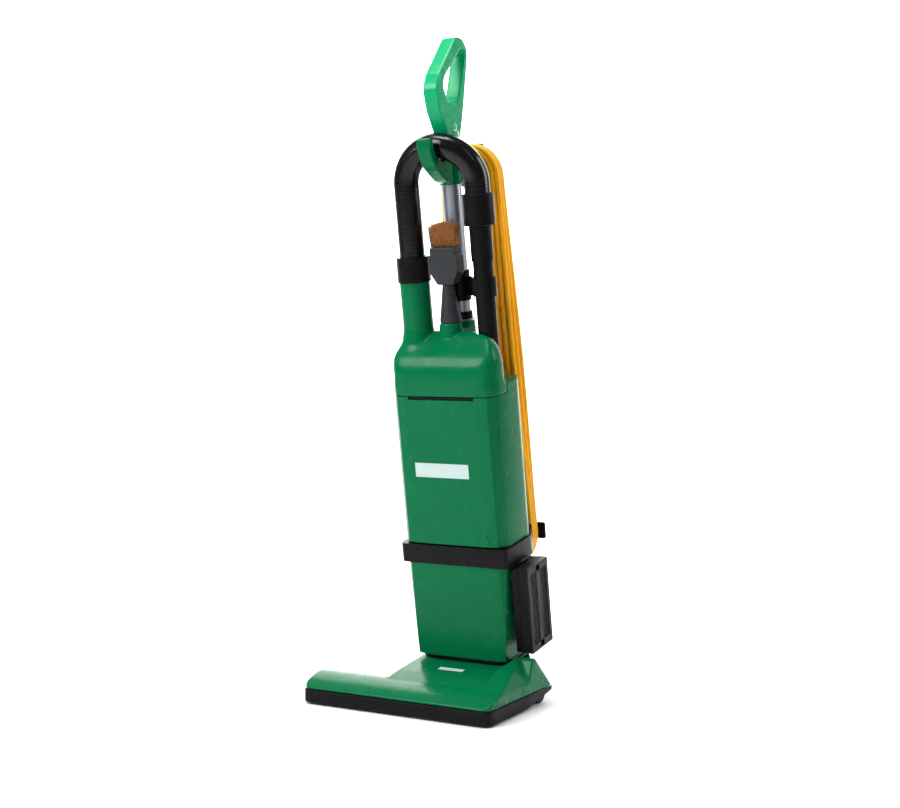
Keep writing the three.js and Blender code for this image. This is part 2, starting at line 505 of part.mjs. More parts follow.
// The suction motor stands on a gasket, with its fan above it.
const MOTOR_V = 60;
const CAN_RADIUS = 50;
add(tower, 'motor_gasket', less(rod('z', 0, MOTOR_V, WALL + GAP, WALL + 5, CAN_RADIUS),
  rod('z', 0, MOTOR_V, 0, 20, CAN_RADIUS - 12)), 'rubber');
add(tower, 'suction_motor', join(
  rod('z', 0, MOTOR_V, WALL + 5 + GAP, 80, CAN_RADIUS),
  rod('z', 0, MOTOR_V, 79, 98, 26, 20, 20)), 'steel');
add(tower, 'suction_fan', join(
  rod('z', 0, MOTOR_V, 98 + GAP, 112, 12, 12, 16),
  rod('z', 0, MOTOR_V, 104, 107, 46),
  ...Array.from({ length: 6 }, (_, index) => box(8, 44, -1.2, 1.2, 106, 116)
    .rotate([0, 0, 60 * index]).translate([0, MOTOR_V, 0]))), 'aluminium');

// The black band between the two green housings, with the filter over its airway.
const BAND_PROUD = 5; // how far the band stands out of the sides
const bandPlan = plan(SIDE + BAND_PROUD - 2, 2, 12);
const AIRWAY = 44;
add(tower, 'tower_band', less(prism('z', bandPlan, BAND_U, DOOR_U - GAP),
  prism('z', inset(bandPlan, 8), BAND_U - 1, BAND_U + 12),
  rod('z', 0, MOTOR_V, BAND_U, DOOR_U + 1, AIRWAY),
  rod('z', 0, MOTOR_V, DOOR_U - 14, DOOR_U + 1, AIRWAY + 12)), 'black');
add(tower, 'premotor_filter', rod('z', 0, MOTOR_V, DOOR_U - 14 + GAP, DOOR_U - 2, AIRWAY + 11), 'white');

// The rear housing holds the dust bag; the bag door closes its front.
const HOUSING_V = DOOR_WRAP + 0.8;
const housingSide = [[HOUSING_V, DOOR_U], [BACK_V, DOOR_U], [BACK_V, SHELF_U - 20, 12],
  [BACK_V - 16, SHELF_U, 10], [CAP_DEPTH, SHELF_U], [CAP_DEPTH, SEAM_U], [HOUSING_V, SEAM_U]];
const housingHollow = [[0, DOOR_U + WALL], [BACK_V - WALL, DOOR_U + WALL],
  [BACK_V - WALL, SHELF_U - 24, 12], [BACK_V - 20, SHELF_U - WALL, 10], [CAP_DEPTH + 8, SHELF_U - WALL],
  [CAP_DEPTH - WALL, SEAM_U - WALL], [0, SEAM_U - WALL]];
const socket = less(rod('z', WAND_X, WAND_V, SHELF_U - 1, SHELF_U + 9, WAND_RADIUS + 3.5),
  rod('z', WAND_X, WAND_V, SHELF_U - 5, SHELF_U + 20, WAND_RADIUS + 0.5));
const rear = join(less(common(prism('z', plan(SIDE), DOOR_U, SHELF_U + 1),
  prism('x', housingSide, -SIDE, SIDE)),
common(prism('z', inset(plan(SIDE), WALL), DOOR_U, SHELF_U), prism('x', housingHollow, -SIDE, SIDE)),
rod('z', 0, MOTOR_V, DOOR_U - 1, DOOR_U + 10, AIRWAY),
rod('z', 0, 45, SEAM_U - 10, SEAM_U + 1, 16)), socket);
add(tower, 'rear_housing', rear, 'green');
add(tower, 'bag_collar', less(box(-45, 45, 25, 65, SEAM_U - 10, SEAM_U - 7),
  rod('z', 0, 45, SEAM_U - 12, SEAM_U, 15)), 'paper');
const bagPlan = [[-SIDE + 16, 26, 14], [SIDE - 16, 26, 14], [SIDE - 16, 96, 8],
  [SIDE - 42, BACK_V - 14, 8], [-SIDE + 42, BACK_V - 14, 8], [-SIDE + 16, 96, 8]];
const BAG_SKIN = 1.5;
add(tower, 'dust_bag', less(prism('z', bagPlan, DOOR_U + 14, SEAM_U - 14),
  prism('z', inset(bagPlan, BAG_SKIN), DOOR_U + 14 + BAG_SKIN, SEAM_U - 14 - BAG_SKIN),
  rod('z', 0, 45, SEAM_U - 20, SEAM_U, 15)), 'paper');

// The door hangs on its bottom edge and wraps both front corners.
const DOOR_BOTTOM = DOOR_U + 2.5;
const SLOT_HALF = 66;
const SLOT_U = SEAM_U - 5.5;
const doorShell = less(
  common(prism('z', plan(SIDE), DOOR_BOTTOM, SEAM_U - GAP), box(-SIDE, SIDE, -1, DOOR_WRAP, 0, SEAM_U)),
  common(prism('z', inset(plan(SIDE), WALL), DOOR_BOTTOM + WALL, SEAM_U - 14),
    box(-SIDE, SIDE, -1, DOOR_WRAP + 1, 0, SEAM_U)),
  box(-SLOT_HALF, SLOT_HALF, -1, 12, SLOT_U, SEAM_U + 1),
  prism('y', [[SIDE - 34, DOOR_BOTTOM + 20], [SIDE - 27, DOOR_BOTTOM + 6, 2],
    [SIDE - 20, DOOR_BOTTOM + 20]], -1, 1.6));
add(tower, 'bag_door', doorShell, 'green');
add(tower, 'door_badge', box(-62, 46, -1.1, -GAP, SEAM_U - 146, SEAM_U - 120), 'white');
add(tower, 'door_latch', box(-SLOT_HALF + 1, SLOT_HALF - 1, 1.2, 8, SLOT_U + 0.8, SEAM_U - 0.8), 'black');

// The top cap: hose inlet on the left, tool post in the middle, handle boss at the back.
const capSide = [[0, SEAM_U + GAP], [0, SEAM_U + 54, 26], [20, CROWN_U - 44, 20],
  [50, CROWN_U - 15, 20], [96, CROWN_U - 10, 6], [TUBE_V + TUBE_RADIUS + 6, CROWN_U - 10, 4],
  [TUBE_V + TUBE_RADIUS + 6, SHELF_U + GAP], [CAP_DEPTH - GAP, SHELF_U + GAP],
  [CAP_DEPTH - GAP, SEAM_U + GAP]];
const capFront = [[-SIDE, SEAM_U + GAP], [-SIDE, CROWN_U - 50, 22], [-SIDE + 20, CROWN_U - 26, 16],
  [HOSE_X + 16, CROWN_U - 22, 12], [-30, CROWN_U - 13, 14], [30, CROWN_U - 13, 14],
  [SIDE - 26, CROWN_U - 20, 18], [SIDE, CROWN_U - 48, 20], [SIDE, SEAM_U + GAP]];
const BOSS = TUBE_RADIUS + 6;
const capPlan = [[-SIDE, 0, FRONT_ROUND], [SIDE, 0, FRONT_ROUND], [SIDE, CAP_DEPTH - GAP, 4],
  [BOSS, CAP_DEPTH - GAP, 6], [BOSS, TUBE_V + 6, 8], [BOSS - 8, TUBE_V + BOSS, 8],
  [-BOSS + 8, TUBE_V + BOSS, 8], [-BOSS, TUBE_V + 6, 6], [HOSE_X + HOSE_RADIUS + 8, 96, 6],
  [-SIDE, 96, 10]];
const INLET = HOSE_RADIUS + 4.5;
const INLET_TOP = SEAM_U + 208;
const POST_TOP = CROWN_U + 32;
const capHollowPlan = inset([[-SIDE, 0, FRONT_ROUND], [SIDE, 0, FRONT_ROUND],
  [SIDE, CAP_DEPTH - GAP, 4], [-SIDE, CAP_DEPTH - GAP, 4]], WALL);
const cap = less(
  join(common(prism('z', capPlan, SEAM_U, CROWN_U + 5), prism('x', capSide, -SIDE, SIDE),
    prism('y', capFront, -1, BACK_V)),
  rod('z', HOSE_X, HOSE_V, CROWN_U - 60, INLET_TOP, INLET),
  rod('z', HOSE_X, HOSE_V, CROWN_U - 60, CROWN_U - 6, INLET + 10, INLET - 0.5),
  rod('z', 0, TOOL_V - 2, CROWN_U - 64, CROWN_U, 25, 20),
  rod('z', 0, TUBE_V, CROWN_U - 40, CROWN_U - 2, BOSS),
  rod('z', 0, TOOL_V - 2, CROWN_U - 20, POST_TOP, 13, 10, 20)),
  common(prism('z', capHollowPlan, SEAM_U - 1, CROWN_U), prism('x', inset(capSide, WALL), -SIDE, SIDE),
    prism('y', inset(capFront, WALL), 0, BACK_V)),
  box(-SIDE + FRONT_ROUND, SIDE - FRONT_ROUND, 8, CAP_DEPTH - 8, SEAM_U - 1, SEAM_U + 20),
  rod('z', HOSE_X, HOSE_V, CROWN_U - 50, INLET_TOP + 1, HOSE_RADIUS),
  rod('z', 0, TUBE_V, SHELF_U - 1, CROWN_U + 10, TUBE_RADIUS + GAP),
  rod('z', WAND_X, WAND_V, SEAM_U, CROWN_U, WAND_RADIUS + 5));
add(tower, 'top_cap', cap, 'green');

// The handle tube, its collar and the hooks clamped round it.
const clamp = (from, to, wall) => less(rod('z', 0, TUBE_V, from, to, TUBE_RADIUS + GAP + wall),
  rod('z', 0, TUBE_V, from - 1, to + 1, TUBE_RADIUS + GAP));
add(tower, 'handle_tube', less(rod('z', 0, TUBE_V, SHELF_U + GAP, TUBE_TOP_U + 14, TUBE_RADIUS),
  rod('z', 0, TUBE_V, SHELF_U - 1, TUBE_TOP_U + 20, TUBE_RADIUS - 1.8)), 'aluminium');
add(tower, 'tube_collar', clamp(CROWN_U + GAP, CROWN_U + 14, 2.5), 'black');
const CLIP_U = SEAM_U + 158;
const toWand = new THREE.Vector2(WAND_X, WAND_V - TUBE_V);
const armAngle = THREE.MathUtils.radToDeg(toWand.angle());
const CRADLE = WAND_RADIUS + 0.6;
const clipArm = box(TUBE_RADIUS + 2, toWand.length() - CRADLE - 1, -4, 4, CLIP_U + 10, CLIP_U + 44)
  .rotate([0, 0, armAngle]).translate([0, TUBE_V, 0]);
const cradle = less(rod('z', WAND_X, WAND_V, CLIP_U + 10, CLIP_U + 44, CRADLE + 3),
  rod('z', WAND_X, WAND_V, CLIP_U, CLIP_U + 60, CRADLE),
  box(WAND_X - 60, WAND_X + 60, WAND_V - 60, WAND_V - 8, CLIP_U, CLIP_U + 60));
add(tower, 'tool_clip', join(clamp(CLIP_U, CLIP_U + 54, 2.5), clipArm, cradle), 'black');

const HOOK_U = ARCH_U - 70;
const HOOK_COLLAR = 54;
const hookBow = (angle, reach) => [HOSE_V + reach * Math.cos(angle), ARCH_U + reach * Math.sin(angle)];
const bowRest = HOSE_RADIUS + 4;
const bow = [205, 232, 257, 283, 305].map((angle) => hookBow(angle * Math.PI / 180, bowRest));
const hookOutline = [[TUBE_V - TUBE_RADIUS - 1, HOOK_U + 2], [HOSE_V + 8, HOOK_U + 8, 6],
  [HOSE_V - HOSE_RADIUS - 7, ARCH_U - 34, 10], [HOSE_V - HOSE_RADIUS - 20, ARCH_U - 8, 8],
  [HOSE_V - HOSE_RADIUS - 20, ARCH_U + 15, 3], [HOSE_V - HOSE_RADIUS - 9, ARCH_U + 15, 3],
  ...bow, [TUBE_V - TUBE_RADIUS - 1, HOOK_U + HOOK_COLLAR - 1]];
add(tower, 'hose_hook', join(clamp(HOOK_U, HOOK_U + HOOK_COLLAR, CLAMP_WALL),
  less(prism('x', hookOutline, -13, 13), rod('z', 0, TUBE_V, 0, ARCH_U + 60, TUBE_RADIUS + GAP + 1))),
'green');

// ---- mains cord at the back ----------------------------------------------------------
const SADDLE_TOP_U = ARCH_U - 64;
const SADDLE_LOW_U = BAND_U + BAND_HEIGHT * 0.4;
const WINDING_V = BACK_V + 3;
const WINDING_DEPTH = TURNS_DEEP * CORD_PITCH + 0.3;
const LIP_V = WINDING_V + WINDING_DEPTH + 2.5;
const STACK = TURNS_HIGH * CORD_PITCH + 0.4;
const LOW_SLACK = 17; // the turns spread a little where they hang round the lower hook

const UPPER_CLAMP = HOOK_U + HOOK_COLLAR + GAP;
const topHook = join(clamp(UPPER_CLAMP, GRIP_U - GAP, CLAMP_WALL),
  less(prism('x', [[TUBE_V + 8, UPPER_CLAMP + 1], [TUBE_V + 8, GRIP_U - 1], [TUBE_V + 34, GRIP_U - 10, 6],
    [WINDING_V - 1, SADDLE_TOP_U + SADDLE_RADIUS - 1], [WINDING_V - 1, SADDLE_TOP_U - 18],
    [TUBE_V + 40, SADDLE_TOP_U - 10, 8], [TUBE_V + 25, UPPER_CLAMP + 1]], -9, 9),
  rod('z', 0, TUBE_V, 0, ARCH_U + 60, TUBE_RADIUS + GAP + 1)),
  common(rod('y', 0, SADDLE_TOP_U, WINDING_V - 8, LIP_V + 1, SADDLE_RADIUS, SADDLE_RADIUS, 32),
    box(-SADDLE_RADIUS, SADDLE_RADIUS, 0, LIP_V + 1, SADDLE_TOP_U - 6, SADDLE_TOP_U + 60)),
  prism('y', [[-20, SADDLE_TOP_U - 6], [20, SADDLE_TOP_U - 6], [20, SADDLE_TOP_U + SADDLE_RADIUS + STACK, 8],
    [-20, SADDLE_TOP_U + SADDLE_RADIUS + STACK, 8]], LIP_V, LIP_V + 6));
add(tower, 'upper_cord_hook', topHook, 'green');
const lowHook = join(
  rod('y', 0, SADDLE_LOW_U, BACK_V + 2 + 0.6, LIP_V + 1, SADDLE_RADIUS, SADDLE_RADIUS, 32),
  prism('y', [[-88, SADDLE_LOW_U - 16, 4], [88, SADDLE_LOW_U - 16, 4], [88, SADDLE_LOW_U + 16, 4],
    [-88, SADDLE_LOW_U + 16, 4]], LIP_V, LIP_V + 6));
add(tower, 'lower_cord_hook', lowHook, 'black');

const upperEye = [0, SADDLE_TOP_U];
const lowerEye = [0, SADDLE_LOW_U];
const winding = less(
  prism('y', loop(upperEye, SADDLE_RADIUS + STACK + GAP, lowerEye, SADDLE_RADIUS + STACK + LOW_SLACK),
    WINDING_V, WINDING_V + WINDING_DEPTH),
  prism('y', loop(upperEye, SADDLE_RADIUS + 0.6, lowerEye, SADDLE_RADIUS + 0.6), WINDING_V - 1,
    WINDING_V + WINDING_DEPTH + 1));
add(tower, 'cord_winding', winding, 'cord');
const RELIEF_U = SEAM_U - 14;
const LEAD_X = -SADDLE_RADIUS + CORD / 2 + 0.4;
const LEAD_V = BACK_V + 11;
add(tower, 'strain_relief', join(
  box(-14, 2, BACK_V + GAP, LEAD_V + 7, RELIEF_U - 2, RELIEF_U + 14),
  rod('z', -6, LEAD_V, RELIEF_U - 32, RELIEF_U, CORD / 2 + 0.8, 7, 16)), 'rubber');
add(tower, 'cord_lead', sweep([[-6, LEAD_V, RELIEF_U - 32 - GAP], [-6, LEAD_V, RELIEF_U - 70],
  [-12, LEAD_V, RELIEF_U - 110], [LEAD_X + 2, LEAD_V, RELIEF_U - 150],
  [LEAD_X, LEAD_V, RELIEF_U - 200]], CORD / 2, 16), 'cord');
const TAIL_V = WINDING_V + WINDING_DEPTH + CORD / 2 + 0.6;
const TAIL_X = -SADDLE_RADIUS - STACK / 2 - 2;
const TAIL_TOP = SADDLE_TOP_U - 90;
const PLUG_TOP = TAIL_TOP - 150;
add(tower, 'cord_tail', sweep([[TAIL_X, TAIL_V, TAIL_TOP], [TAIL_X - 1, TAIL_V, TAIL_TOP - 50],
  [TAIL_X - 1, TAIL_V + 2, TAIL_TOP - 100], [TAIL_X - 1, TAIL_V + 5.5, PLUG_TOP + CORD],
  [TAIL_X - 1, TAIL_V + 5.5, PLUG_TOP + GAP]], CORD / 2, 12),
'cord');
const plugX = TAIL_X - 1;
const plugV = TAIL_V + 5.5;
add(tower, 'cord_plug', join(
  rod('z', plugX, plugV, PLUG_TOP - 22, PLUG_TOP, 9.5, CORD / 2 + 1.2, 16),
  box(plugX - 16, plugX + 16, plugV - 9.5, plugV + 9.5, PLUG_TOP - 48, PLUG_TOP - 21),
  box(plugX - 8, plugX - 6.4, plugV - 3, plugV + 3, PLUG_TOP - 64, PLUG_TOP - 47),
  box(plugX + 6.4, plugX + 8, plugV - 3, plugV + 3, PLUG_TOP - 64, PLUG_TOP - 47),
  rod('z', plugX, plugV + 6, PLUG_TOP - 66, PLUG_TOP - 47, 2.3, 2.3, 10)), 'rubber');

// ---- hose, wand and tools ------------------------------------------------------------
const CUFF_U = INLET_TOP - 10;
add(tower, 'hose_cuff', less(rod('z', HOSE_X, HOSE_V, CUFF_U, CUFF_U + 45, INLET + 2.5),
  rod('z', HOSE_X, HOSE_V, CUFF_U - 1, INLET_TOP + 2, INLET + GAP),
  rod('z', HOSE_X, HOSE_V, INLET_TOP, CUFF_U + 50, HOSE_RADIUS + 0.4)), 'black');
const WAND_TOP = ARCH_U - 121;
const WAND_CUFF_U = WAND_TOP - 20;
const bend = (WAND_X - HOSE_X) / 2;
const middle = (WAND_X + HOSE_X) / 2;
const archPoint = (degrees) => {
  const angle = THREE.MathUtils.degToRad(degrees);
  const ease = THREE.MathUtils.smoothstep(degrees, 100, 180);
  return [middle - bend * Math.cos(angle), HOSE_V + (WAND_V - HOSE_V) * ease,
    ARCH_U - bend + bend * Math.sin(angle)];
};
add(tower, 'hose', sweep([[HOSE_X, HOSE_V, INLET_TOP + 3], [HOSE_X, HOSE_V, INLET_TOP + 60],
  ...[0, 22, 45, 67, 90, 112, 135, 158, 180].map(archPoint),
  [WAND_X, WAND_V, ARCH_U - bend - 10], [WAND_X, WAND_V, WAND_TOP + 20],
  [WAND_X, WAND_V, WAND_TOP + 3]], HOSE_RADIUS, 22, 12), 'rubber');
add(tower, 'wand_tube', less(
  join(rod('z', WAND_X, WAND_V, SHELF_U + GAP, WAND_CUFF_U - 60, WAND_RADIUS),
    rod('z', WAND_X, WAND_V, WAND_CUFF_U - 62, WAND_TOP, WAND_RADIUS + 2)),
  rod('z', WAND_X, WAND_V, SHELF_U - 1, WAND_TOP + 1, WAND_RADIUS - 2.5)), 'black');
add(tower, 'wand_cuff', less(
  rod('z', WAND_X, WAND_V, WAND_CUFF_U, WAND_CUFF_U + 55, HOSE_RADIUS + 5),
  rod('z', WAND_X, WAND_V, WAND_CUFF_U - 1, WAND_TOP + 2, WAND_RADIUS + 2 + GAP),
  rod('z', WAND_X, WAND_V, WAND_TOP + 1, WAND_CUFF_U + 60, HOSE_RADIUS + 0.4)), 'black');
const TOOL_U = CROWN_U + 1;
const TOOL_TOP = TOOL_U + TOOL_HEIGHT;
add(tower, 'crevice_tool', less(
  join(rod('z', 0, TOOL_V, TOOL_U, TOOL_U + 8, 19.5, 19.5, 20),
    rod('z', 0, TOOL_V, TOOL_U + 7, TOOL_TOP, 19, 10.5, 20),
    rod('z', 0, TOOL_V, TOOL_TOP - 1, TOOL_TOP + 18, 10.5, 9.5, 20)),
  rod('z', 0, TOOL_V - 2, TOOL_U - 1, POST_TOP + 2, 14, 11, 20)), 'grey');
const brushBase = TOOL_TOP + 1;
const brushHalf = BRUSH_HEAD_WIDTH / 2;
const brushDeep = BRUSH_HEAD_DEPTH / 2;
const brushTop = brushBase + BRUSH_HEAD_HEIGHT;
add(tower, 'dusting_brush_head', less(
  common(prism('y', [[-15, brushBase, 3], [15, brushBase, 3], [brushHalf, brushBase + 22, 3],
    [brushHalf, brushTop - 14], [brushHalf - 3, brushTop - 14], [brushHalf - 3, brushTop],
    [-brushHalf + 3, brushTop], [-brushHalf + 3, brushTop - 14], [-brushHalf, brushTop - 14],
    [-brushHalf, brushBase + 22, 3]], TOOL_V - brushDeep, TOOL_V + brushDeep),
  prism('x', [[TOOL_V - 13, brushBase], [TOOL_V + 13, brushBase], [TOOL_V + brushDeep, brushBase + 22],
    [TOOL_V + brushDeep, brushTop], [TOOL_V - brushDeep, brushTop], [TOOL_V - brushDeep, brushBase + 22]],
  -brushHalf, brushHalf)),
  rod('z', 0, TOOL_V, brushBase - 1, brushBase + 20, 10.9, 10, 20)), 'grey');
add(tower, 'dusting_brush_bristles', prism('y', [[-brushHalf + 4, brushTop + GAP], [brushHalf - 4, brushTop + GAP],
  [brushHalf, brushTop + BRISTLE_HEIGHT - 12, 6], [0, brushTop + BRISTLE_HEIGHT + 4, 20],
  [-brushHalf, brushTop + BRISTLE_HEIGHT - 12, 6]], TOOL_V - brushDeep + 2, TOOL_V + brushDeep - 2),
'bristle');

// ---- handle grip and switch ----------------------------------------------------------
const grip = (rows) => rows.map(([v, u, round]) => [TUBE_V + v, GRIP_U + u * GRIP_HEIGHT / 184, round]);
const gripOuter = grip([[-20, 0, 0], [-46, 55, 8], [-51, 92, 8], [-38, 116, 10], [13, 162, 10],
  [34, 182, 10], [60, 176, 12], [73, 152, 12], [57, 102, 20], [35, 34, 20], [21, 0, 0]]);
const gripHole = grip([[-13, 66, 6], [21, 62, 6], [28, 72, 6], [60, 146, 6], [57, 160, 5],
  [45, 158, 6], [24, 142, 8], [-19, 110, 8], [-26, 94, 6]]);
const SWITCH_U = GRIP_U + 34;
const gripBody = less(
  join(common(prism('x', gripOuter, -GRIP_WIDTH / 2, GRIP_WIDTH / 2),
    prism('y', [[-TUBE_RADIUS - 4, GRIP_U], [TUBE_RADIUS + 4, GRIP_U],
      [GRIP_WIDTH / 2, GRIP_U + 40, 20], [GRIP_WIDTH / 2, GRIP_U + GRIP_HEIGHT],
      [-GRIP_WIDTH / 2, GRIP_U + GRIP_HEIGHT], [-GRIP_WIDTH / 2, GRIP_U + 40, 20]], 0, 300)),
  rod('z', 0, TUBE_V, GRIP_U, GRIP_U + 30, TUBE_RADIUS + 4, 15)),
  prism('x', gripHole, -GRIP_WIDTH, GRIP_WIDTH),
  rod('z', 0, TUBE_V, GRIP_U - 1, TUBE_TOP_U + 15, TUBE_RADIUS + GAP),
  box(-8, 8, TUBE_V + 26, TUBE_V + 60, SWITCH_U - 1, SWITCH_U + 19));
add(tower, 'handle_grip', gripBody, 'green');
const SWITCH_V = TUBE_V + 31;
add(tower, 'power_switch', join(
  rod('x', SWITCH_V, SWITCH_U + 9, -7, 7, 4, 4, 12),
  prism('x', [[SWITCH_V, SWITCH_U + 4], [SWITCH_V + 9, SWITCH_U + 1, 1], [SWITCH_V + 8, SWITCH_U + 9],
    [SWITCH_V + 12, SWITCH_U + 17, 1], [SWITCH_V, SWITCH_U + 14]], -7, 7)), 'black');

// ---- exhaust filter on the right side ------------------------------------------------
const CASE_X = SIDE + 1;
const COVER_X = CASE_X + 14;
const CASE_OUT = CASE_X + FILTER_WIDTH;
const caseRing = (grow) => [[FILTER_FRONT + grow, FILTER_BOTTOM + grow, 4],
  [FILTER_BACK - grow, FILTER_BOTTOM + grow, 4], [FILTER_BACK - grow, FILTER_TOP - grow, 4],
  [FILTER_FRONT + grow, FILTER_TOP - grow, 4]];
add(tower, 'filter_case', less(
  join(prism('x', caseRing(0), CASE_X, COVER_X - GAP),
    rod('x', DUCT_V, DUCT_U, FOOT - 2, CASE_X + 1, DUCT_RADIUS)),
  prism('x', caseRing(2.5), CASE_X + 2.5, COVER_X + 1),
  rod('x', DUCT_V, DUCT_U, FOOT - 5, CASE_X + 5, DUCT_RADIUS - 3)), 'black');
add(tower, 'exhaust_filter', prism('x', caseRing(5), CASE_X + 3.5, CASE_OUT - 8), 'white');
const SLOTS = 9;
const slot = (v, index) => {
  const step = (FILTER_TOP - FILTER_BOTTOM - 30) / SLOTS;
  const u = FILTER_BOTTOM + 16 + index * step;
  return box(CASE_OUT - 6, CASE_OUT + 1, v, v + 20, u, u + step * 0.45);
};
const slots = [FILTER_FRONT + 6, FILTER_BACK - 34].flatMap((v) =>
  Array.from({ length: SLOTS }, (_, index) => slot(v, index)));
add(tower, 'filter_cover', less(prism('x', caseRing(0), COVER_X, CASE_OUT),
  prism('x', caseRing(2.5), COVER_X - 1, CASE_OUT - 2.5), ...slots), 'black');

// ---- placing: the middle of the box's foot is the origin ------------------------------
machine.updateMatrixWorld(true);
const extent = new THREE.Box3();
machine.traverse((item) => {
  const soft = ['cord_winding', 'cord_lead', 'cord_tail', 'cord_plug'].includes(item.name);
  if (item.isMesh && !soft) extent.expandByObject(item, true);
});
machine.position.set(-(extent.min.x + extent.max.x) / 2, -(extent.min.y + extent.max.y) / 2,
  -extent.min.z);
const cleaner = new THREE.Group();
cleaner.name = 'upright_vacuum_cleaner';
cleaner.add(machine);

export default cleaner;
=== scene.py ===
# %% [markdown]
# # An upright vacuum cleaner
# The machine is a wide floor head on wheels with a tall tower that leans against its stop. The CAD
# frame gives every piece its place, its size and the body that it moves with. Here each piece gets
# its finished surface: moulded green plastic, satin black plastic, a glossy hose, a wound mains cord
# and two brushes. One could model everything afresh, but starting from the frame keeps every fit.

# %% Load the frame
import json
import math
import random

import bmesh
import bpy
import numpy as np
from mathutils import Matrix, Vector, noise


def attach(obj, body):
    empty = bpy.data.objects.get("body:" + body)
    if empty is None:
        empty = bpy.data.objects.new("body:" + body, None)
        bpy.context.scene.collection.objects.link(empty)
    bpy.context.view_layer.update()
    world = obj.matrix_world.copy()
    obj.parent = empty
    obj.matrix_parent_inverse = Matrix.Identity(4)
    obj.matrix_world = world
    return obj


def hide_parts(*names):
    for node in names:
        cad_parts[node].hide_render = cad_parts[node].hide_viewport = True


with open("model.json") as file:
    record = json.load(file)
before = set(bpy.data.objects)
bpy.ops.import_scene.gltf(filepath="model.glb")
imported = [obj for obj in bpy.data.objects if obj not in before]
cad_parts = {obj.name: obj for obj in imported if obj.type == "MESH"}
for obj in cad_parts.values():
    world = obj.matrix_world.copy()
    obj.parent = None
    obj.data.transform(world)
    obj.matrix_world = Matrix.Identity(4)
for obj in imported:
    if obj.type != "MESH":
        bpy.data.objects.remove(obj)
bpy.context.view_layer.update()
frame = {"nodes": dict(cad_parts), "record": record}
BODY_OF = {node: body for body, nodes in frame["record"]["behaviour"]["bodies"].items()
           for node in nodes}

# %% [markdown]
# The camera stands to the right of the machine, a little lower than the hose, with a long lens.
# A short lens nearby would make the tower taper; a long one far away keeps it almost straight.
# Looking slightly down keeps the top of the floor head visible.

# %% Camera
camera = bpy.data.objects.new("camera", bpy.data.cameras.new("camera"))
bpy.context.collection.objects.link(camera)
camera.data.lens = 61.36
camera.data.sensor_width = 36
camera.location = (1.3858, -2.4285, 0.6616)
YAW, PITCH = math.radians(29.27), math.radians(2.5)
look = Vector((-math.sin(YAW) * math.cos(PITCH), math.cos(YAW) * math.cos(PITCH),
               -math.sin(PITCH)))
camera.rotation_euler = look.to_track_quat("-Z", "Y").to_euler()
bpy.context.scene.camera = camera
print("camera at", tuple(camera.location), "lens", camera.data.lens)

# %% [markdown]
# Everything on the tower is drawn in the tower's own directions: x to the right, v into the depth
# and u up along its axis. One function turns such a place, in millimetres, into the frame's metres.
# That is easier to think in than tilted coordinates, and a change of the lean stays in one place.

# %% Places on the tower
LEAN = math.radians(9.5)
FOOT = Vector((53.5, -8.282, 80.0))


def place(x, v, u):
    across = Vector((x, math.cos(LEAN) * v - math.sin(LEAN) * u,
                     math.sin(LEAN) * v + math.cos(LEAN) * u))
    return (FOOT + across) / 1000


print("foot of the tower", tuple(place(0, 0, 0)))

# %% [markdown]
# Two small helpers make meshes from lists. The first turns vertices and faces into an object that
# moves with a body and stands for pieces of the frame. The second lays rings of vertices along a
# path. A bevelled curve would do the same, but its ends and its exact size are harder to control.

# %% Helpers for new meshes


def object_from(name, verts, faces, body, replaces=(), smooth=True):
    mesh = bpy.data.meshes.new(name)
    mesh.from_pydata([tuple(v) for v in verts], [], faces)
    mesh.validate()
    mesh.polygons.foreach_set("use_smooth", [smooth] * len(mesh.polygons))
    obj = bpy.data.objects.new(name, mesh)
    bpy.context.collection.objects.link(obj)
    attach(obj, body)
    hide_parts(*replaces)
    return obj


def tube(path, radii, sides=24):
    """Rings of vertices along a path, turned as little as possible from one to the next."""
    points = [Vector(p) for p in path]
    verts, faces = [], []
    side = None
    for i, point in enumerate(points):
        ahead = points[min(i + 1, len(points) - 1)] - points[max(i - 1, 0)]
        ahead.normalize()
        if side is None:
            side = ahead.orthogonal().normalized()
        side = (side - ahead * side.dot(ahead)).normalized()
        other = ahead.cross(side)
        for k in range(sides):
            a = 2 * math.pi * k / sides
            verts.append(point + (side * math.cos(a) + other * math.sin(a)) * radii[i])
    for i in range(len(points) - 1):
        for k in range(sides):
            a, b = i * sides + k, i * sides + (k + 1) % sides
            faces.append((a, b, b + sides, a + sides))
    faces.append(tuple(reversed(range(sides))))
    faces.append(tuple(range((len(points) - 1) * sides, len(points) * sides)))
    return verts, faces


print("helpers", object_from.__name__, tube.__name__)

# %% [markdown]
# The mains cord is 8.5 mm thick and wound in nine turns round the two hooks at the back, three side
# by side and three deep, a good cord's width apart. At the lower hook the turns hang a little slack,
# so they spread. It leaves the housing through a tapered strain relief, and its plug hangs on the
# last turn. Letting a simulation wind it would be slow and never twice the same, so a loop works
# out the turns, and only the two free ends are listed points.

# %% Mains cord
CORD = 8.5
PITCH_V = 8.7
EYE_TOP, EYE_LOW = 852.0, 189.0
COLUMNS = [172.5 + PITCH_V * c for c in range(3)]
TOP_R = [38.9, 47.6, 56.3]
LOW_R = [38.9, 56.0, 73.0]
RIGHT_BOW = [-3.0, 0.5, 4.0]
LEFT_BOW = [2.0, 4.0, 6.0]
ORDER = [(0, 0), (0, 1), (0, 2), (1, 2), (1, 1), (1, 0), (2, 0), (2, 1), (2, 2)]


def ease(t):
    return t * t * (3 - 2 * t)


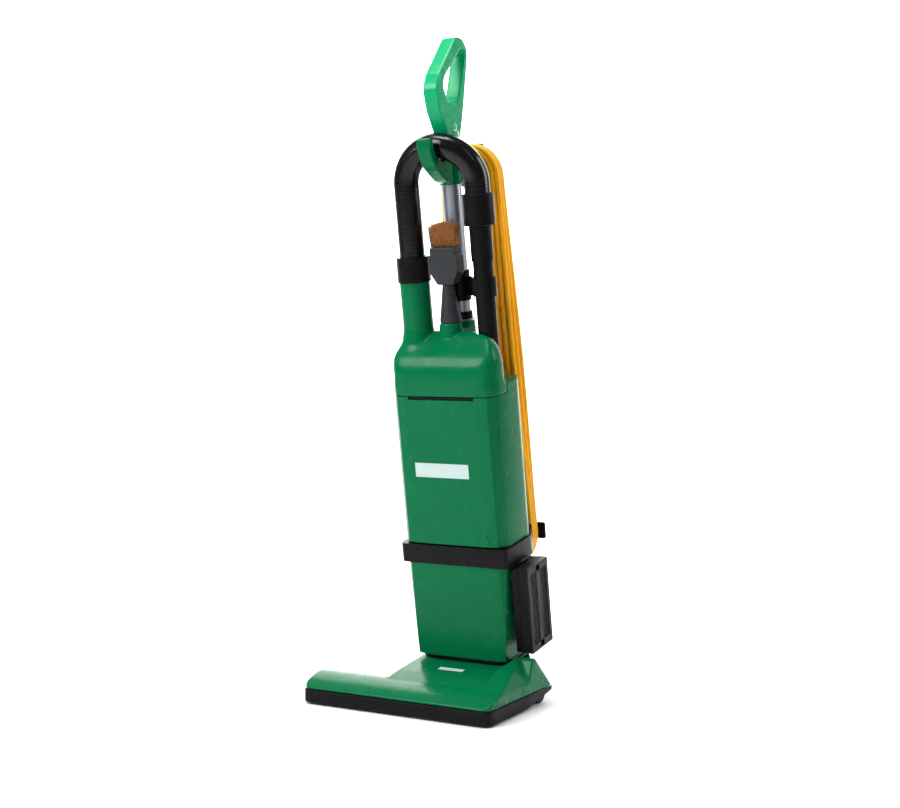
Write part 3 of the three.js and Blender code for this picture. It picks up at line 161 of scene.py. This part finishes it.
route = [(-6, 176, 436), (-6, 176, 420), (-6, 176, 398), (-8.5, 176, 378), (-13.5, 176, 358),
         (-21, 176, 338), (-26.6, 176, 318), (-29, 176, 290), (-29.6, 176, 268), (-32.5, 175, 246),
         (-36.5, 173.2, 226), (-38.6, 172.5, 208)]
for turn, (layer, column) in enumerate(ORDER):
    v, low, top = COLUMNS[column], LOW_R[layer], TOP_R[layer]
    for step in range(17):
        angle = math.pi + math.pi * step / 16
        route.append((low * math.cos(angle), v, EYE_LOW + low * math.sin(angle)))
    for t in (0.06, 0.14, 0.25, 0.38, 0.5, 0.62, 0.75, 0.86, 0.94):
        bow = RIGHT_BOW[column] * math.sin(math.pi * t) ** 2
        route.append((low + (top - low) * t + bow, v, EYE_LOW + (EYE_TOP - EYE_LOW) * t))
    last = turn + 1 == len(ORDER)
    next_layer, next_column = (layer, column) if last else ORDER[turn + 1]
    next_v, next_top, next_low = COLUMNS[next_column], TOP_R[next_layer], LOW_R[next_layer]
    for step in range(17):
        angle = math.pi * step / 16
        mix = ease(step / 16)
        radius = top + (next_top - top) * mix
        route.append((radius * math.cos(angle), v + (next_v - v) * mix,
                      EYE_TOP + radius * math.sin(angle)))
    if not last:
        for t in (0.94, 0.86, 0.75, 0.62, 0.5, 0.38, 0.25, 0.14, 0.06):
            bow = LEFT_BOW[next_column] * math.sin(math.pi * t) ** 2
            route.append((-next_low - (next_top - next_low) * t - bow, next_v,
                          EYE_LOW + (EYE_TOP - EYE_LOW) * t))
route += [(-55.8, 191.0, 832), (-54.4, 194.0, 812), (-52.6, 197.2, 790), (-50.6, 199.2, 762),
          (-50.3, 199.2, 735), (-50.3, 199.3, 712), (-50.3, 200.3, 680), (-50.3, 202.6, 645),
          (-50.3, 204.6, 622), (-50.3, 204.8, 613)]
cord_line = [place(*p) for p in route]

mains_cord = object_from("mains_cord", *tube(cord_line, [CORD / 2000] * len(cord_line), 12),
                         "tower", ["cord_winding", "cord_lead", "cord_tail"])

# %% [markdown]
# The suction hose is a glossy vinyl tube over a wire spiral. It rises from its cuff on the left,
# arches over the hose hook and drops into the wider cuff on the wand. The wire hardly shows, so its
# rings stand out by hundredths of a millimetre only. Shallow ridges along the hose break the light
# into the long thin highlights that glossy vinyl has.

# %% Suction hose
HOSE_R = 23.0
ARCH = 916.0
BEND = 66.0


def hose_place(s):
    """s runs from 0 at the left cuff, over the arch, to 1 in the wand's cuff."""
    left, arc, right = ARCH - BEND - 693, math.pi * BEND, ARCH - BEND - 798
    d = s * (left + arc + right)
    if d < left:
        return (-65, 57, 693 + d)
    if d < left + arc:
        angle = (d - left) / BEND
        drift = ease(min(1, max(0, (math.degrees(angle) - 100) / 80)))
        return (1 - BEND * math.cos(angle), 57 + 16 * drift, ARCH - BEND + BEND * math.sin(angle))
    return (67, 73, ARCH - BEND - (d - left - arc))


HOSE_STEPS = 456
HOSE_SIDES = 32
WIRE_STEPS = 8
WIRE_RELIEF = 0.03
SKIN = 0.35
RIDGES = 8
RIDGE_SHARE = 0.014
hose_path = [place(*hose_place(i / HOSE_STEPS)) for i in range(HOSE_STEPS + 1)]
rings = [(HOSE_R - SKIN + WIRE_RELIEF * math.sin(2 * math.pi * i / WIRE_STEPS)) / 1000
         for i in range(HOSE_STEPS + 1)]
hose = object_from("suction_hose", *tube(hose_path, rings, HOSE_SIDES), "tower", ["hose"])
for i, vert in enumerate(hose.data.vertices):
    middle = hose_path[i // HOSE_SIDES]
    ridge = math.cos(2 * math.pi * RIDGES * (i % HOSE_SIDES) / HOSE_SIDES)
    vert.co = middle + (vert.co - middle) * (1 + RIDGE_SHARE * ridge)

# %% [markdown]
# A real moulding has no knife edges. Each hard piece starts as a copy of the frame's mesh, so that
# its size and place are right. The frame's triangles share no vertices, so the copy is joined up
# first; without that no modifier could find an edge.

# %% Copying a piece of the frame


def copy_of(node, name):
    source = frame["nodes"][node].data
    bm = bmesh.new()
    spots = [bm.verts.new(v.co) for v in source.vertices]
    bm.verts.ensure_lookup_table()
    for poly in source.polygons:
        try:
            bm.faces.new([spots[i] for i in poly.vertices])
        except ValueError:
            pass
    bmesh.ops.remove_doubles(bm, verts=bm.verts, dist=2e-6)
    bmesh.ops.recalc_face_normals(bm, faces=bm.faces)
    mesh = bpy.data.meshes.new(name)
    bm.to_mesh(mesh)
    bm.free()
    obj = bpy.data.objects.new(name, mesh)
    bpy.context.collection.objects.link(obj)
    return obj


print("nodes to copy from", len(frame["nodes"]))

# %% [markdown]
# Most pieces have plain walls that meet at an angle. For them flat facets are merged, and a bevel
# modifier rounds the edges alone. Hardened normals keep the walls flat in the light, and the thin
# highlight along each edge is what makes the plastic look moulded.

# %% Pieces with bevelled edges
EDGE_ANGLE = math.radians(32)
FLAT_ANGLE = math.radians(0.6)


def bevelled(node, width, material):
    obj = copy_of(node, node + "_shape")
    bm = bmesh.new()
    bm.from_mesh(obj.data)
    bmesh.ops.dissolve_limit(bm, angle_limit=FLAT_ANGLE, verts=bm.verts, edges=bm.edges)
    for face in bm.faces:
        face.smooth = True
    bm.to_mesh(obj.data)
    bm.free()
    obj.data.set_sharp_from_angle(angle=EDGE_ANGLE)
    bevel = obj.modifiers.new("edge", "BEVEL")
    bevel.width = width / 1000
    bevel.segments = 3
    bevel.limit_method = "ANGLE"
    bevel.angle_limit = EDGE_ANGLE
    bevel.harden_normals = True
    bevel.use_clamp_overlap = True
    obj.data.materials.append(material)
    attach(obj, BODY_OF[node])
    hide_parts(node)
    return obj


print("edges sharper than", round(math.degrees(EDGE_ANGLE)), "degrees are rounded")

# %% [markdown]
# The big green mouldings have corners that run into each other, where a bevel would tear. Their
# whole skin is remeshed in small squares and relaxed, which rounds every corner and fills every
# joint as a mould does. A thin hollow piece, such as the bag, is first filled to its outer skin.
# Where a shoulder is fuller still, the skin is relaxed further by a weight for each vertex.

# %% Pieces with a relaxed skin


def moulded(node, voxel, relax, material, name=None, filled=False):
    obj = copy_of(node, name or node + "_shape")
    if filled:
        bm = bmesh.new()
        for vert in obj.data.vertices:
            bm.verts.new(vert.co)
        bmesh.ops.convex_hull(bm, input=bm.verts)
        bmesh.ops.delete(bm, geom=[v for v in bm.verts if not v.link_faces], context="VERTS")
        bm.to_mesh(obj.data)
        bm.free()
    remesh = obj.modifiers.new("skin", "REMESH")
    remesh.mode = "VOXEL"
    remesh.voxel_size = voxel / 1000
    remesh.use_smooth_shade = True
    soften = obj.modifiers.new("soften", "SMOOTH")
    soften.factor = 0.5
    soften.iterations = relax
    evaluated = obj.evaluated_get(bpy.context.evaluated_depsgraph_get())
    mesh = bpy.data.meshes.new_from_object(evaluated)
    obj.modifiers.clear()
    obj.data = mesh
    obj.data.materials.clear()
    obj.data.materials.append(material)
    mesh.polygons.foreach_set("use_smooth", [True] * len(mesh.polygons))
    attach(obj, BODY_OF[node])
    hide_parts(node)
    return obj


def rounder(obj, rounds, weight):
    """Relax a skin further where the weight of its vertices is above nought."""
    mesh = obj.data
    count = len(mesh.vertices)
    spots = np.empty(count * 3)
    mesh.vertices.foreach_get("co", spots)
    spots = spots.reshape(-1, 3)
    ends = np.empty(len(mesh.edges) * 2, dtype=int)
    mesh.edges.foreach_get("vertices", ends)
    first, second = ends.reshape(-1, 2).T
    share = 0.5 * weight(spots)[:, None]
    links = np.bincount(ends, minlength=count)[:, None]
    for _ in range(rounds):
        total = np.stack([np.bincount(first, spots[second, axis], count)
                          + np.bincount(second, spots[first, axis], count)
                          for axis in range(3)], axis=1)
        spots += share * (total / links - spots)
    mesh.vertices.foreach_set("co", spots.ravel())
    mesh.update()


def tell(title, pieces):
    print(title, len(pieces), "pieces", sum(len(piece.data.polygons) for piece in pieces), "faces")


print("ways to finish", moulded.__name__, rounder.__name__)

# %% [markdown]
# Every material is made of noise at real sizes: a slow drift of colour, a finer one of gloss, and a
# very fine relief. Image textures would need unwrapping; noise in the object's own metres does not,
# and it has the same grain on a small piece as on a large one. Edges that hands and furniture touch
# are paler: where the surface bends outward sharply, a worn colour shows in patches.

# %% How a material is made
GLOSS_SPREAD = 0.08
BUMP_STRENGTH = 0.35


def material(name, colour, rough, drift=0.06, grain=900, relief=0.02, metal=0.0,
             worn=None, specular=0.5, broad=9):
    made = bpy.data.materials.new(name)
    made.use_nodes = True
    nodes, links = made.node_tree.nodes, made.node_tree.links
    skin = nodes["Principled BSDF"]
    where = nodes.new("ShaderNodeTexCoord").outputs["Object"]

    def noise(scale, detail):
        node = nodes.new("ShaderNodeTexNoise")
        node.inputs["Scale"].default_value = scale
        node.inputs["Detail"].default_value = detail
        links.new(where, node.inputs["Vector"])
        return node.outputs["Fac"]

    def ranged(value, low, high):
        node = nodes.new("ShaderNodeMapRange")
        node.inputs["From Min"].default_value = 0.3
        node.inputs["From Max"].default_value = 0.7
        node.inputs["To Min"].default_value = low
        node.inputs["To Max"].default_value = high
        links.new(value, node.inputs["Value"])
        return node.outputs["Result"]

    shade = nodes.new("ShaderNodeHueSaturation")
    shade.inputs["Color"].default_value = (*colour, 1)
    links.new(ranged(noise(broad, 4), 1 - drift, 1 + drift), shade.inputs["Value"])
    base = shade.outputs["Color"]
    if worn:
        edge = nodes.new("ShaderNodeNewGeometry").outputs["Pointiness"]
        limit = nodes.new("ShaderNodeMapRange")
        limit.inputs["From Min"].default_value = 0.54
        limit.inputs["From Max"].default_value = 0.62
        links.new(edge, limit.inputs["Value"])
        patch = nodes.new("ShaderNodeMath")
        patch.operation = "MULTIPLY"
        links.new(limit.outputs["Result"], patch.inputs[0])
        links.new(ranged(noise(60, 5), 0, 0.5), patch.inputs[1])
        blend = nodes.new("ShaderNodeMix")
        blend.data_type = "RGBA"
        blend.inputs["B"].default_value = (*worn, 1)
        links.new(patch.outputs["Value"], blend.inputs["Factor"])
        links.new(base, blend.inputs["A"])
        base = blend.outputs["Result"]
    links.new(base, skin.inputs["Base Color"])
    links.new(ranged(noise(45, 6), rough - GLOSS_SPREAD, rough + GLOSS_SPREAD),
              skin.inputs["Roughness"])
    bump = nodes.new("ShaderNodeBump")
    bump.inputs["Strength"].default_value = BUMP_STRENGTH
    bump.inputs["Distance"].default_value = relief / 1000
    links.new(noise(grain, 3), bump.inputs["Height"])
    links.new(bump.outputs["Normal"], skin.inputs["Normal"])
    skin.inputs["Metallic"].default_value = metal
    skin.inputs["Specular IOR Level"].default_value = specular
    return made


print("gloss varies by", GLOSS_SPREAD, "either way")

# %% [markdown]
# The machine has few finishes. The green mouldings are glossy and evenly coloured; the handle loop
# is a brighter green. Black plastic is satin, rubber is dull, vinyl is shiny. The pieces inside are
# cast or turned metal, foam, paper and cloth. A low specular value keeps the dark colours deep.

# %% The finishes of this machine
GREEN = material("green_plastic", (0.0, 0.135, 0.048), 0.22, drift=0.05, grain=260, relief=0.012,
                 specular=0.1)
GREEN_BRIGHT = material("bright_green_plastic", (0.0, 0.36, 0.14), 0.25, drift=0.05, grain=260,
                        relief=0.012, specular=0.2)
BLACK = material("black_plastic", (0.004, 0.004, 0.0045), 0.34, drift=0.2, grain=1400, relief=0.03,
                 worn=(0.012, 0.012, 0.013), specular=0.1)
RUBBER = material("black_rubber", (0.005, 0.005, 0.0055), 0.5, drift=0.2, grain=900, relief=0.06,
                  specular=0.1)
HOSE = material("hose_vinyl", (0.003, 0.003, 0.0035), 0.2, drift=0.2, grain=500, relief=0.01,
                specular=0.3)
GREY = material("grey_plastic", (0.028, 0.031, 0.036), 0.42, drift=0.12, grain=1200, relief=0.04,
                worn=(0.06, 0.06, 0.07), specular=0.2)
TUBE = material("anodised_tube", (0.34, 0.37, 0.42), 0.34, drift=0.06, grain=2200, relief=0.01,
                metal=0.8)
STEEL = material("steel", (0.52, 0.53, 0.55), 0.36, drift=0.08, grain=1800, relief=0.03, metal=1.0)
CAST = material("cast_aluminium", (0.45, 0.46, 0.48), 0.5, drift=0.1, grain=500, relief=0.1,
                metal=0.9)
ORANGE = material("cord_jacket", (1.0, 0.46, 0.004), 0.4, drift=0.1, grain=700, relief=0.03,
                  specular=0.3)
WHITE = material("pale_plate", (0.5, 0.62, 0.6), 0.4, drift=0.05, grain=1500, relief=0.03)
PAPER = material("bag_cloth", (0.62, 0.54, 0.4), 0.9, drift=0.08, grain=1600, relief=0.3)
FOAM = material("filter_foam", (0.25, 0.26, 0.27), 0.95, drift=0.15, grain=700, relief=0.6)
PLEATS = material("filter_paper", (0.42, 0.42, 0.40), 0.9, drift=0.12, grain=1100, relief=0.2)
BRISTLE = material("brown_bristle", (0.46, 0.19, 0.055), 0.5, drift=0.5, grain=900, relief=0.01,
                   specular=0.3, broad=320)
mains_cord.data.materials.append(ORANGE)
hose.data.materials.append(HOSE)
print("materials", len(bpy.data.materials))

# %% [markdown]
# The motors, the fan, the bearings and the belt are hidden inside. Their shape in the frame is
# right, so they keep it and only get a material. Remaking them would cost time and show nothing.

# %% Inner pieces
for node, look in {
    "bearing_left": GREY, "bearing_right": GREY, "drive_belt": RUBBER, "motor_pulley": STEEL,
    "brush_motor": CAST, "axle_left": STEEL, "axle_right": STEEL, "motor_gasket": RUBBER,
    "suction_motor": CAST, "suction_fan": CAST, "premotor_filter": FOAM, "bag_collar": PAPER,
}.items():
    mesh = frame["nodes"][node].data
    for slot in range(len(mesh.materials)):
        mesh.materials[slot] = look

# %% [markdown]
# The floor head rolls on the carpet: a green cover over a flat black chassis, with a rubber bumper
# that spares the furniture. The real cover is one moulding whose ramp, arm and raised block flow
# into each other, so it gets the relaxed skin. The chassis, the wheels and the pedal are plain
# mouldings with clean edges, where a bevel is enough and keeps them exact.

# %% Floor head
head = [moulded("head_cover", 1.5, 12, GREEN), moulded("front_bumper", 1.4, 4, RUBBER)]
for node, edge, look in (
        ("head_chassis", 0.8, BLACK), ("head_badge", 0.2, WHITE), ("sole_plate", 0.4, STEEL),
        ("brush_roll", 0.6, BLACK), ("release_pedal", 0.8, BLACK)):
    head.append(bevelled(node, edge, look))
for side in ("left", "right"):
    head.append(bevelled("rear_wheel_" + side, 0.8, GREY))
    head.append(bevelled("rear_tyre_" + side, 1.6, RUBBER))
    head.append(bevelled("front_roller_" + side, 0.8, BLACK))
tell("floor head", head)

# %% [markdown]
# The tower is a stack of mouldings: the motor housing, a black band, the rear housing with the bag
# door in front of it, and the cap. Flat walls meet at clean rounded edges, which a bevel of about a
# millimetre gives. The cap is different: its shoulders are full and soft like a bottle's. They
# could be sculpted by hand, but relaxing the skin between the rim and the tubes follows a rule.

# %% Tower housings
RIM = 14
FADE = 14
SHOULDER = 96
tower = [moulded("top_cap", 1.6, 10, GREEN)]
for node, edge, look in (
        ("neck", 0.8, BLACK), ("motor_housing", 1.2, GREEN), ("tower_band", 1.0, BLACK),
        ("rear_housing", 1.5, GREEN), ("bag_door", 0.8, GREEN), ("door_latch", 0.5, BLACK),
        ("door_badge", 0.3, WHITE)):
    tower.append(bevelled(node, edge, look))


def cap_shoulder(spots):
    """Nought at the rim and up the tubes, one on the shoulders between them."""
    up = np.array([0, -math.sin(LEAN), math.cos(LEAN)])
    height = (spots * 1000 - np.array(FOOT)) @ up
    above_rim = height - height.min()
    return np.clip((above_rim - RIM) / FADE, 0, 1) * np.clip((SHOULDER - above_rim) / FADE, 0, 1)


rounder(tower[0], 160, cap_shoulder)
tell("tower", tower)

# %% [markdown]
# The exhaust leaves through a filter box on the right side, a plain black moulding with straight
# walls. Its case only needs its edges broken; the lid comes later, with its grille.

# %% Filter box
tell("filter box", [bevelled("filter_case", 0.8, BLACK)])

# %% [markdown]
# The handle is an anodised tube with a closed green loop on top. Hands hold the loop and the hooks,
# so they have no flat corner anywhere and get the relaxed skin, the loop most of all. The tube, the
# clip and the plug are turned or moulded with small edges.

# %% Handle and hooks
handle = [moulded("handle_grip", 1.2, 34, GREEN_BRIGHT), moulded("hose_hook", 1.0, 12, GREEN),
          moulded("upper_cord_hook", 1.0, 6, GREEN), moulded("lower_cord_hook", 1.2, 3, BLACK)]
for node, edge, look in (
        ("handle_tube", 0.5, TUBE), ("tube_collar", 0.6, BLACK), ("tool_clip", 0.6, BLACK),
        ("power_switch", 0.6, BLACK), ("strain_relief", 0.6, RUBBER), ("cord_plug", 0.8, RUBBER)):
    handle.append(bevelled(node, edge, look))
tell("handle", handle)

# %% [markdown]
# The cuffs, the wand and the two tools are simple mouldings that slide into each other. Their rims
# are thick and rounded, so the cuffs have the widest bevel.

# %% Hose fittings, wand and tools
fittings = []
for node, edge, look in (
        ("hose_cuff", 1.2, BLACK), ("wand_tube", 0.5, BLACK), ("wand_cuff", 1.5, BLACK),
        ("crevice_tool", 0.8, GREY), ("dusting_brush_head", 1.5, GREY)):
    fittings.append(bevelled(node, edge, look))
tell("fittings", fittings)

# %% [markdown]
# Bristles are thin tapered strands with a slight bend. Hair particles would draw them faster, but
# they leave no mesh behind, so one function builds every strand from three small rings. A seeded
# dice gives each strand its own place and length, the same ones every time.

# %% How bristles are made
dice = random.Random(7)
STRAND_SIDES = 3


def strands(name, roots, body, replaced):
    verts, faces = [], []
    for foot, tip, thick in roots:
        middle = (foot * 0.45 + tip * 0.55) + (foot - tip).orthogonal().normalized() * 0.0004
        axis = (tip - foot).normalized()
        side = axis.orthogonal().normalized()
        other = axis.cross(side)
        start = len(verts)
        for centre, radius in ((foot, thick), (middle, thick * 0.9), (tip, thick * 0.5)):
            for k in range(STRAND_SIDES):
                a = 2 * math.pi * k / STRAND_SIDES
                verts.append(centre + (side * math.cos(a) + other * math.sin(a)) * radius)
        for ring in (0, 3):
            for k in range(3):
                a, b = start + ring + k, start + ring + (k + 1) % 3
                faces.append((a, b, b + 3, a + 3))
        faces.append((start + 2, start + 1, start))
        faces.append((start + 6, start + 7, start + 8))
    made = object_from(name, verts, faces, body, [replaced])
    made.data.materials.append(BRISTLE)
    print(name, len(roots), "strands")


# %% [markdown]
# The dusting brush is a dense block of bristles in rows. They spread a little towards their tips,
# and the middle ones are longer, so the tuft has a rounded top as a used brush has.

# %% Bristles of the dusting brush
ROWS, ROW_STRANDS = 13, 46
TUFT_HALF_WIDTH, TUFT_HALF_DEPTH, TUFT_V = 22.8, 10.6, 62
TUFT_FOOT, TUFT_TOP, TUFT_CROWN = 740.4, 777, 6.5
roots = []
for row in range(ROWS):
    for column in range(ROW_STRANDS):
        across = (column / (ROW_STRANDS - 1) - 0.5) * 2
        deep = (row / (ROWS - 1) - 0.5) * 2
        x = TUFT_HALF_WIDTH * across + dice.uniform(-0.4, 0.4)
        v = TUFT_V + TUFT_HALF_DEPTH * deep + dice.uniform(-0.4, 0.4)
        top = TUFT_TOP + TUFT_CROWN * (1 - across * across) + dice.uniform(-2.2, 1.6)
        tip = place(x * 1.17 + dice.uniform(-0.6, 0.6), TUFT_V + (v - TUFT_V) * 1.04, top)
        roots.append((place(x, v, TUFT_FOOT), tip, 0.0005))
strands("dusting_bristles", roots, "dusting_brush", "dusting_brush_bristles")

# %% [markdown]
# The roll under the head carries four strips of short stiff bristles, twisted round it, so that one
# strip after another meets the carpet along the roll. A loop turns each tuft a little further.

# %% Bristles of the roll
ROLL_Y, ROLL_Z = -118.282, 23.5
ROLL_LEFT, ROLL_LENGTH = -168.5, 319
STRIPS, TUFTS = 4, 150
FIRST_ANGLE, TWIST = 0.27, 1.6
ROLL_SKIN = 14.3
roots = []
for strip in range(STRIPS):
    for step in range(TUFTS):
        along = (step + dice.uniform(-0.3, 0.3)) / TUFTS
        for aside in (-0.07, 0.0, 0.07):
            a = (FIRST_ANGLE + strip * 2 * math.pi / STRIPS + TWIST * along + aside
                 + dice.uniform(-0.02, 0.02))
            ray = Vector((0, math.cos(a), math.sin(a)))
            axle = Vector((ROLL_LEFT + ROLL_LENGTH * along, ROLL_Y, ROLL_Z))
            roots.append(((axle + ray * ROLL_SKIN) / 1000,
                          (axle + ray * dice.uniform(19.0, 19.8)) / 1000, 0.00045))
strands("roll_bristles", roots, "brush", "brush_strips")

# %% [markdown]
# The exhaust filter is paper folded in tight pleats, so that a large sheet fits in a small box. The
# zigzag of its folds is worked out once and drawn out to the filter's height.

# %% Exhaust filter
PLEATS_WIDE = 36
PLEAT_BACK, PLEAT_LOW, PLEAT_HIGH = 109.2, 124.0, 129.6
PLEAT_V, PLEAT_SPAN = 23, 70
front, back = [], []
for i in range(PLEATS_WIDE + 1):
    v = PLEAT_V + PLEAT_SPAN * i / PLEATS_WIDE
    front.append((PLEAT_HIGH if i % 2 else PLEAT_LOW, v))
    back.append((PLEAT_BACK, v))
outline = front + back[::-1]
count = len(outline)
verts = [place(x, v, u) for u in (21, 166) for x, v in outline]
faces = [(i, (i + 1) % count, (i + 1) % count + count, i + count) for i in range(count)]
for i in range(PLEATS_WIDE):
    quad = (i, i + 1, count - 2 - i, count - 1 - i)
    faces.append(tuple(reversed(quad)))
    faces.append(tuple(k + count for k in quad))
pleats = object_from("exhaust_filter_pleats", verts, faces, "tower", ["exhaust_filter"], smooth=False)
pleats.data.materials.append(PLEATS)
print("pleats", PLEATS_WIDE)

# %% [markdown]
# The lid over the filter is a thin black shell with two tall grilles of fine bars, through which
# the pleats show. Cutting slots with a boolean would leave ragged facets, so the lid is put
# together from small slabs instead: a rim, a frame and rows of bars. A bevel softens them all.

# %% Lid of the filter box
def slabs(name, boxes, body, replaced, look, width):
    """Many small boxes in the tower's directions, joined in one piece with softened edges."""
    verts, faces = [], []
    for x0, x1, v0, v1, u0, u1 in boxes:
        start = len(verts)
        verts += [place(x, v, u) for x in (x0, x1) for v in (v0, v1) for u in (u0, u1)]
        for quad in ((0, 1, 3, 2), (4, 6, 7, 5), (0, 4, 5, 1), (2, 3, 7, 6), (0, 2, 6, 4),
                     (1, 5, 7, 3)):
            faces.append(tuple(start + k for k in quad))
    made = object_from(name, verts, faces, body, replaced, smooth=False)
    made.data.materials.append(look)
    soft = made.modifiers.new("edge", "BEVEL")
    soft.width = width
    soft.segments = 2
    return made


X0, XF, X1 = 119.0, 135.4, 138.0
V0, V1, U0, U1 = 17.0, 99.0, 15.0, 172.0
SIDE, EDGE, WINDOW, END = 3, 9, 34, 14
BAR, BAR_STEP = 1.7, 4.1
parts = [(X0, X1, V0, V0 + SIDE, U0, U1),
         (X0, X1, V1 - SIDE, V1, U0, U1),
         (X0, X1, V0 + SIDE, V1 - SIDE, U0, U0 + SIDE),
         (X0, X1, V0 + SIDE, V1 - SIDE, U1 - SIDE, U1),
         (XF, X1, V0 + SIDE, V0 + EDGE, U0 + SIDE, U1 - SIDE),
         (XF, X1, V1 - EDGE, V1 - SIDE, U0 + SIDE, U1 - SIDE),
         (XF, X1, V0 + WINDOW, V1 - WINDOW, U0 + SIDE, U1 - SIDE),
         (XF, X1, V0 + EDGE, V1 - EDGE, U0 + SIDE, U0 + END),
         (XF, X1, V0 + EDGE, V1 - EDGE, U1 - END, U1 - SIDE)]
for v0, v1 in ((V0 + EDGE, V0 + WINDOW), (V1 - WINDOW, V1 - EDGE)):
    u = U0 + END + 2.5
    while u < U1 - END - 1:
        parts.append((XF + 0.6, X1 - 0.6, v0 - 0.5, v1 + 0.5, u, u + BAR))
        u += BAR_STEP
    middle = (v0 + v1) / 2
    parts.append((XF + 0.2, X1 - 0.2, middle - 0.9, middle + 0.9, U0 + END, U1 - END))
lid = slabs("filter_lid_grille", parts, "filter_lid", ["filter_cover"], BLACK, 0.0004)
print("bars", len(parts))

# %% [markdown]
# The dust bag is a sewn cloth bag, half full, that is only seen with the door open. A cloth
# simulation could drape it, but the folds are shallow and the bag stands in a tight box. So its
# skin is drawn in, creased by smooth noise, and lifted along a line for the seam.

# %% Dust bag
SLACK, FOLD, CREASE = 0.004, 0.0032, 0.0022
SEAM, SEAM_HEIGHT, SEAM_WIDTH = 0.0016, 0.1, 0.002
bag = moulded("dust_bag", 3.0, 8, PAPER, "dust_bag_cloth", filled=True)
centre = sum((v.co for v in bag.data.vertices), Vector()) / len(bag.data.vertices)
up = Vector((0, -math.sin(LEAN), math.cos(LEAN)))
for vert in bag.data.vertices:
    offset = vert.co - centre
    height = offset.dot(up)
    outward = offset - up * height
    reach = outward.length
    if reach < 1e-6:
        continue
    fold = noise.noise(Vector((math.atan2(outward.y, outward.x) * 3.1, height * 9, 0.5)))
    crease = CREASE * abs(noise.noise(vert.co * 34))
    slack = SLACK + FOLD * fold
    seam = SEAM * math.exp(-((height - SEAM_HEIGHT) / SEAM_WIDTH) ** 2)
    vert.co -= outward.normalized() * (slack + crease - seam)
print("bag faces", len(bag.data.polygons))

# %% [markdown]
# The plug is one rubber moulding with two metal pins. It stays one mesh, and the faces below the
# line where the pins start get the steel, which is simpler than cutting the piece in two.

# %% Metal pins of the plug
plug = bpy.data.objects["cord_plug_shape"]
plug.data.materials.append(STEEL)
pin_line = place(-50.3, 204.8, 612 - 48.5)
for poly in plug.data.polygons:
    if (poly.center - pin_line).dot(up) < 0:
        poly.material_index = 1
print("pin faces", sum(poly.material_index for poly in plug.data.polygons))

# %% [markdown]
# A cord differs from a hard piece in how long and thick it is, where it leaves the machine, what it
# ends in and how it lies. The names of the mains cord and the hose are printed here.

print("declared", mains_cord.name, hose.name)

# %% [markdown]
# A pale sheet runs along the floor and curves up behind the machine, as in a catalogue studio, so
# there is no line between floor and wall. A plain plane would do, but it shows its horizon.

# %% Floor and backdrop
sweep = []
for i in range(25):
    a = math.pi / 2 * i / 24
    sweep.append((1.2 + 1.4 * math.sin(a), 1.4 - 1.4 * math.cos(a)))
line = [(-7.0, 0.0)] + sweep + [(2.6, 6.0)]
verts = [(x, y, z) for y, z in line for x in (-9, 9)]
faces = [(2 * i, 2 * i + 1, 2 * i + 3, 2 * i + 2) for i in range(len(line) - 1)]
backdrop_mesh = bpy.data.meshes.new("backdrop")
backdrop_mesh.from_pydata(verts, [], faces)
backdrop_mesh.polygons.foreach_set("use_smooth", [True] * len(faces))
backdrop = bpy.data.objects.new("backdrop", backdrop_mesh)
backdrop.rotation_euler = (0, 0, math.radians(29))
bpy.context.collection.objects.link(backdrop)
backdrop.data.materials.append(material("pale_paper", (0.9, 0.9, 0.9), 0.8, drift=0.01, grain=60,
                                        relief=0.01))

print("backdrop faces", len(backdrop_mesh.polygons))

# %% [markdown]
# Dark glossy plastic shows its surroundings more than its own colour. So the room is dim, and a few
# large soft lamps do the work: the key on the left leaves the right sides darker, the overhead one
# brightens the floor head, narrow ones draw highlights, and one lights the backdrop alone.

# %% Lamps
world = bpy.data.worlds.new("studio")
world.use_nodes = True
world.node_tree.nodes["Background"].inputs["Color"].default_value = (1.0, 1.0, 1.0, 1)
world.node_tree.nodes["Background"].inputs["Strength"].default_value = 0.16
bpy.context.scene.world = world
bpy.context.scene.view_settings.view_transform = "Standard"


def lamp(name, spot, aim, size, power):
    light = bpy.data.lights.new(name, "AREA")
    light.shape = "RECTANGLE"
    light.size, light.size_y = size
    light.energy = power
    obj = bpy.data.objects.new(name, light)
    obj.location = spot
    obj.rotation_euler = (Vector(aim) - Vector(spot)).to_track_quat("-Z", "Y").to_euler()
    bpy.context.collection.objects.link(obj)


lamp("key", (-1.6, -2.8, 2.4), (0, 0, 0.6), (1.4, 1.8), 115)
lamp("edge", (2.2, -1.2, 2.3), (0, 0, 0.8), (0.25, 1.2), 5)
lamp("overhead", (-0.3, -0.5, 3.2), (0, -0.1, 0), (1.2, 1.2), 62)
lamp("rear_fill", (1.5, 0.9, 1.5), (0.1, 0.15, 0.8), (0.6, 1.2), 14)
lamp("backdrop_wash", (-0.1, 1.2, 2.4), (-1.0, 2.8, 1.7), (2.6, 0.8), 220)
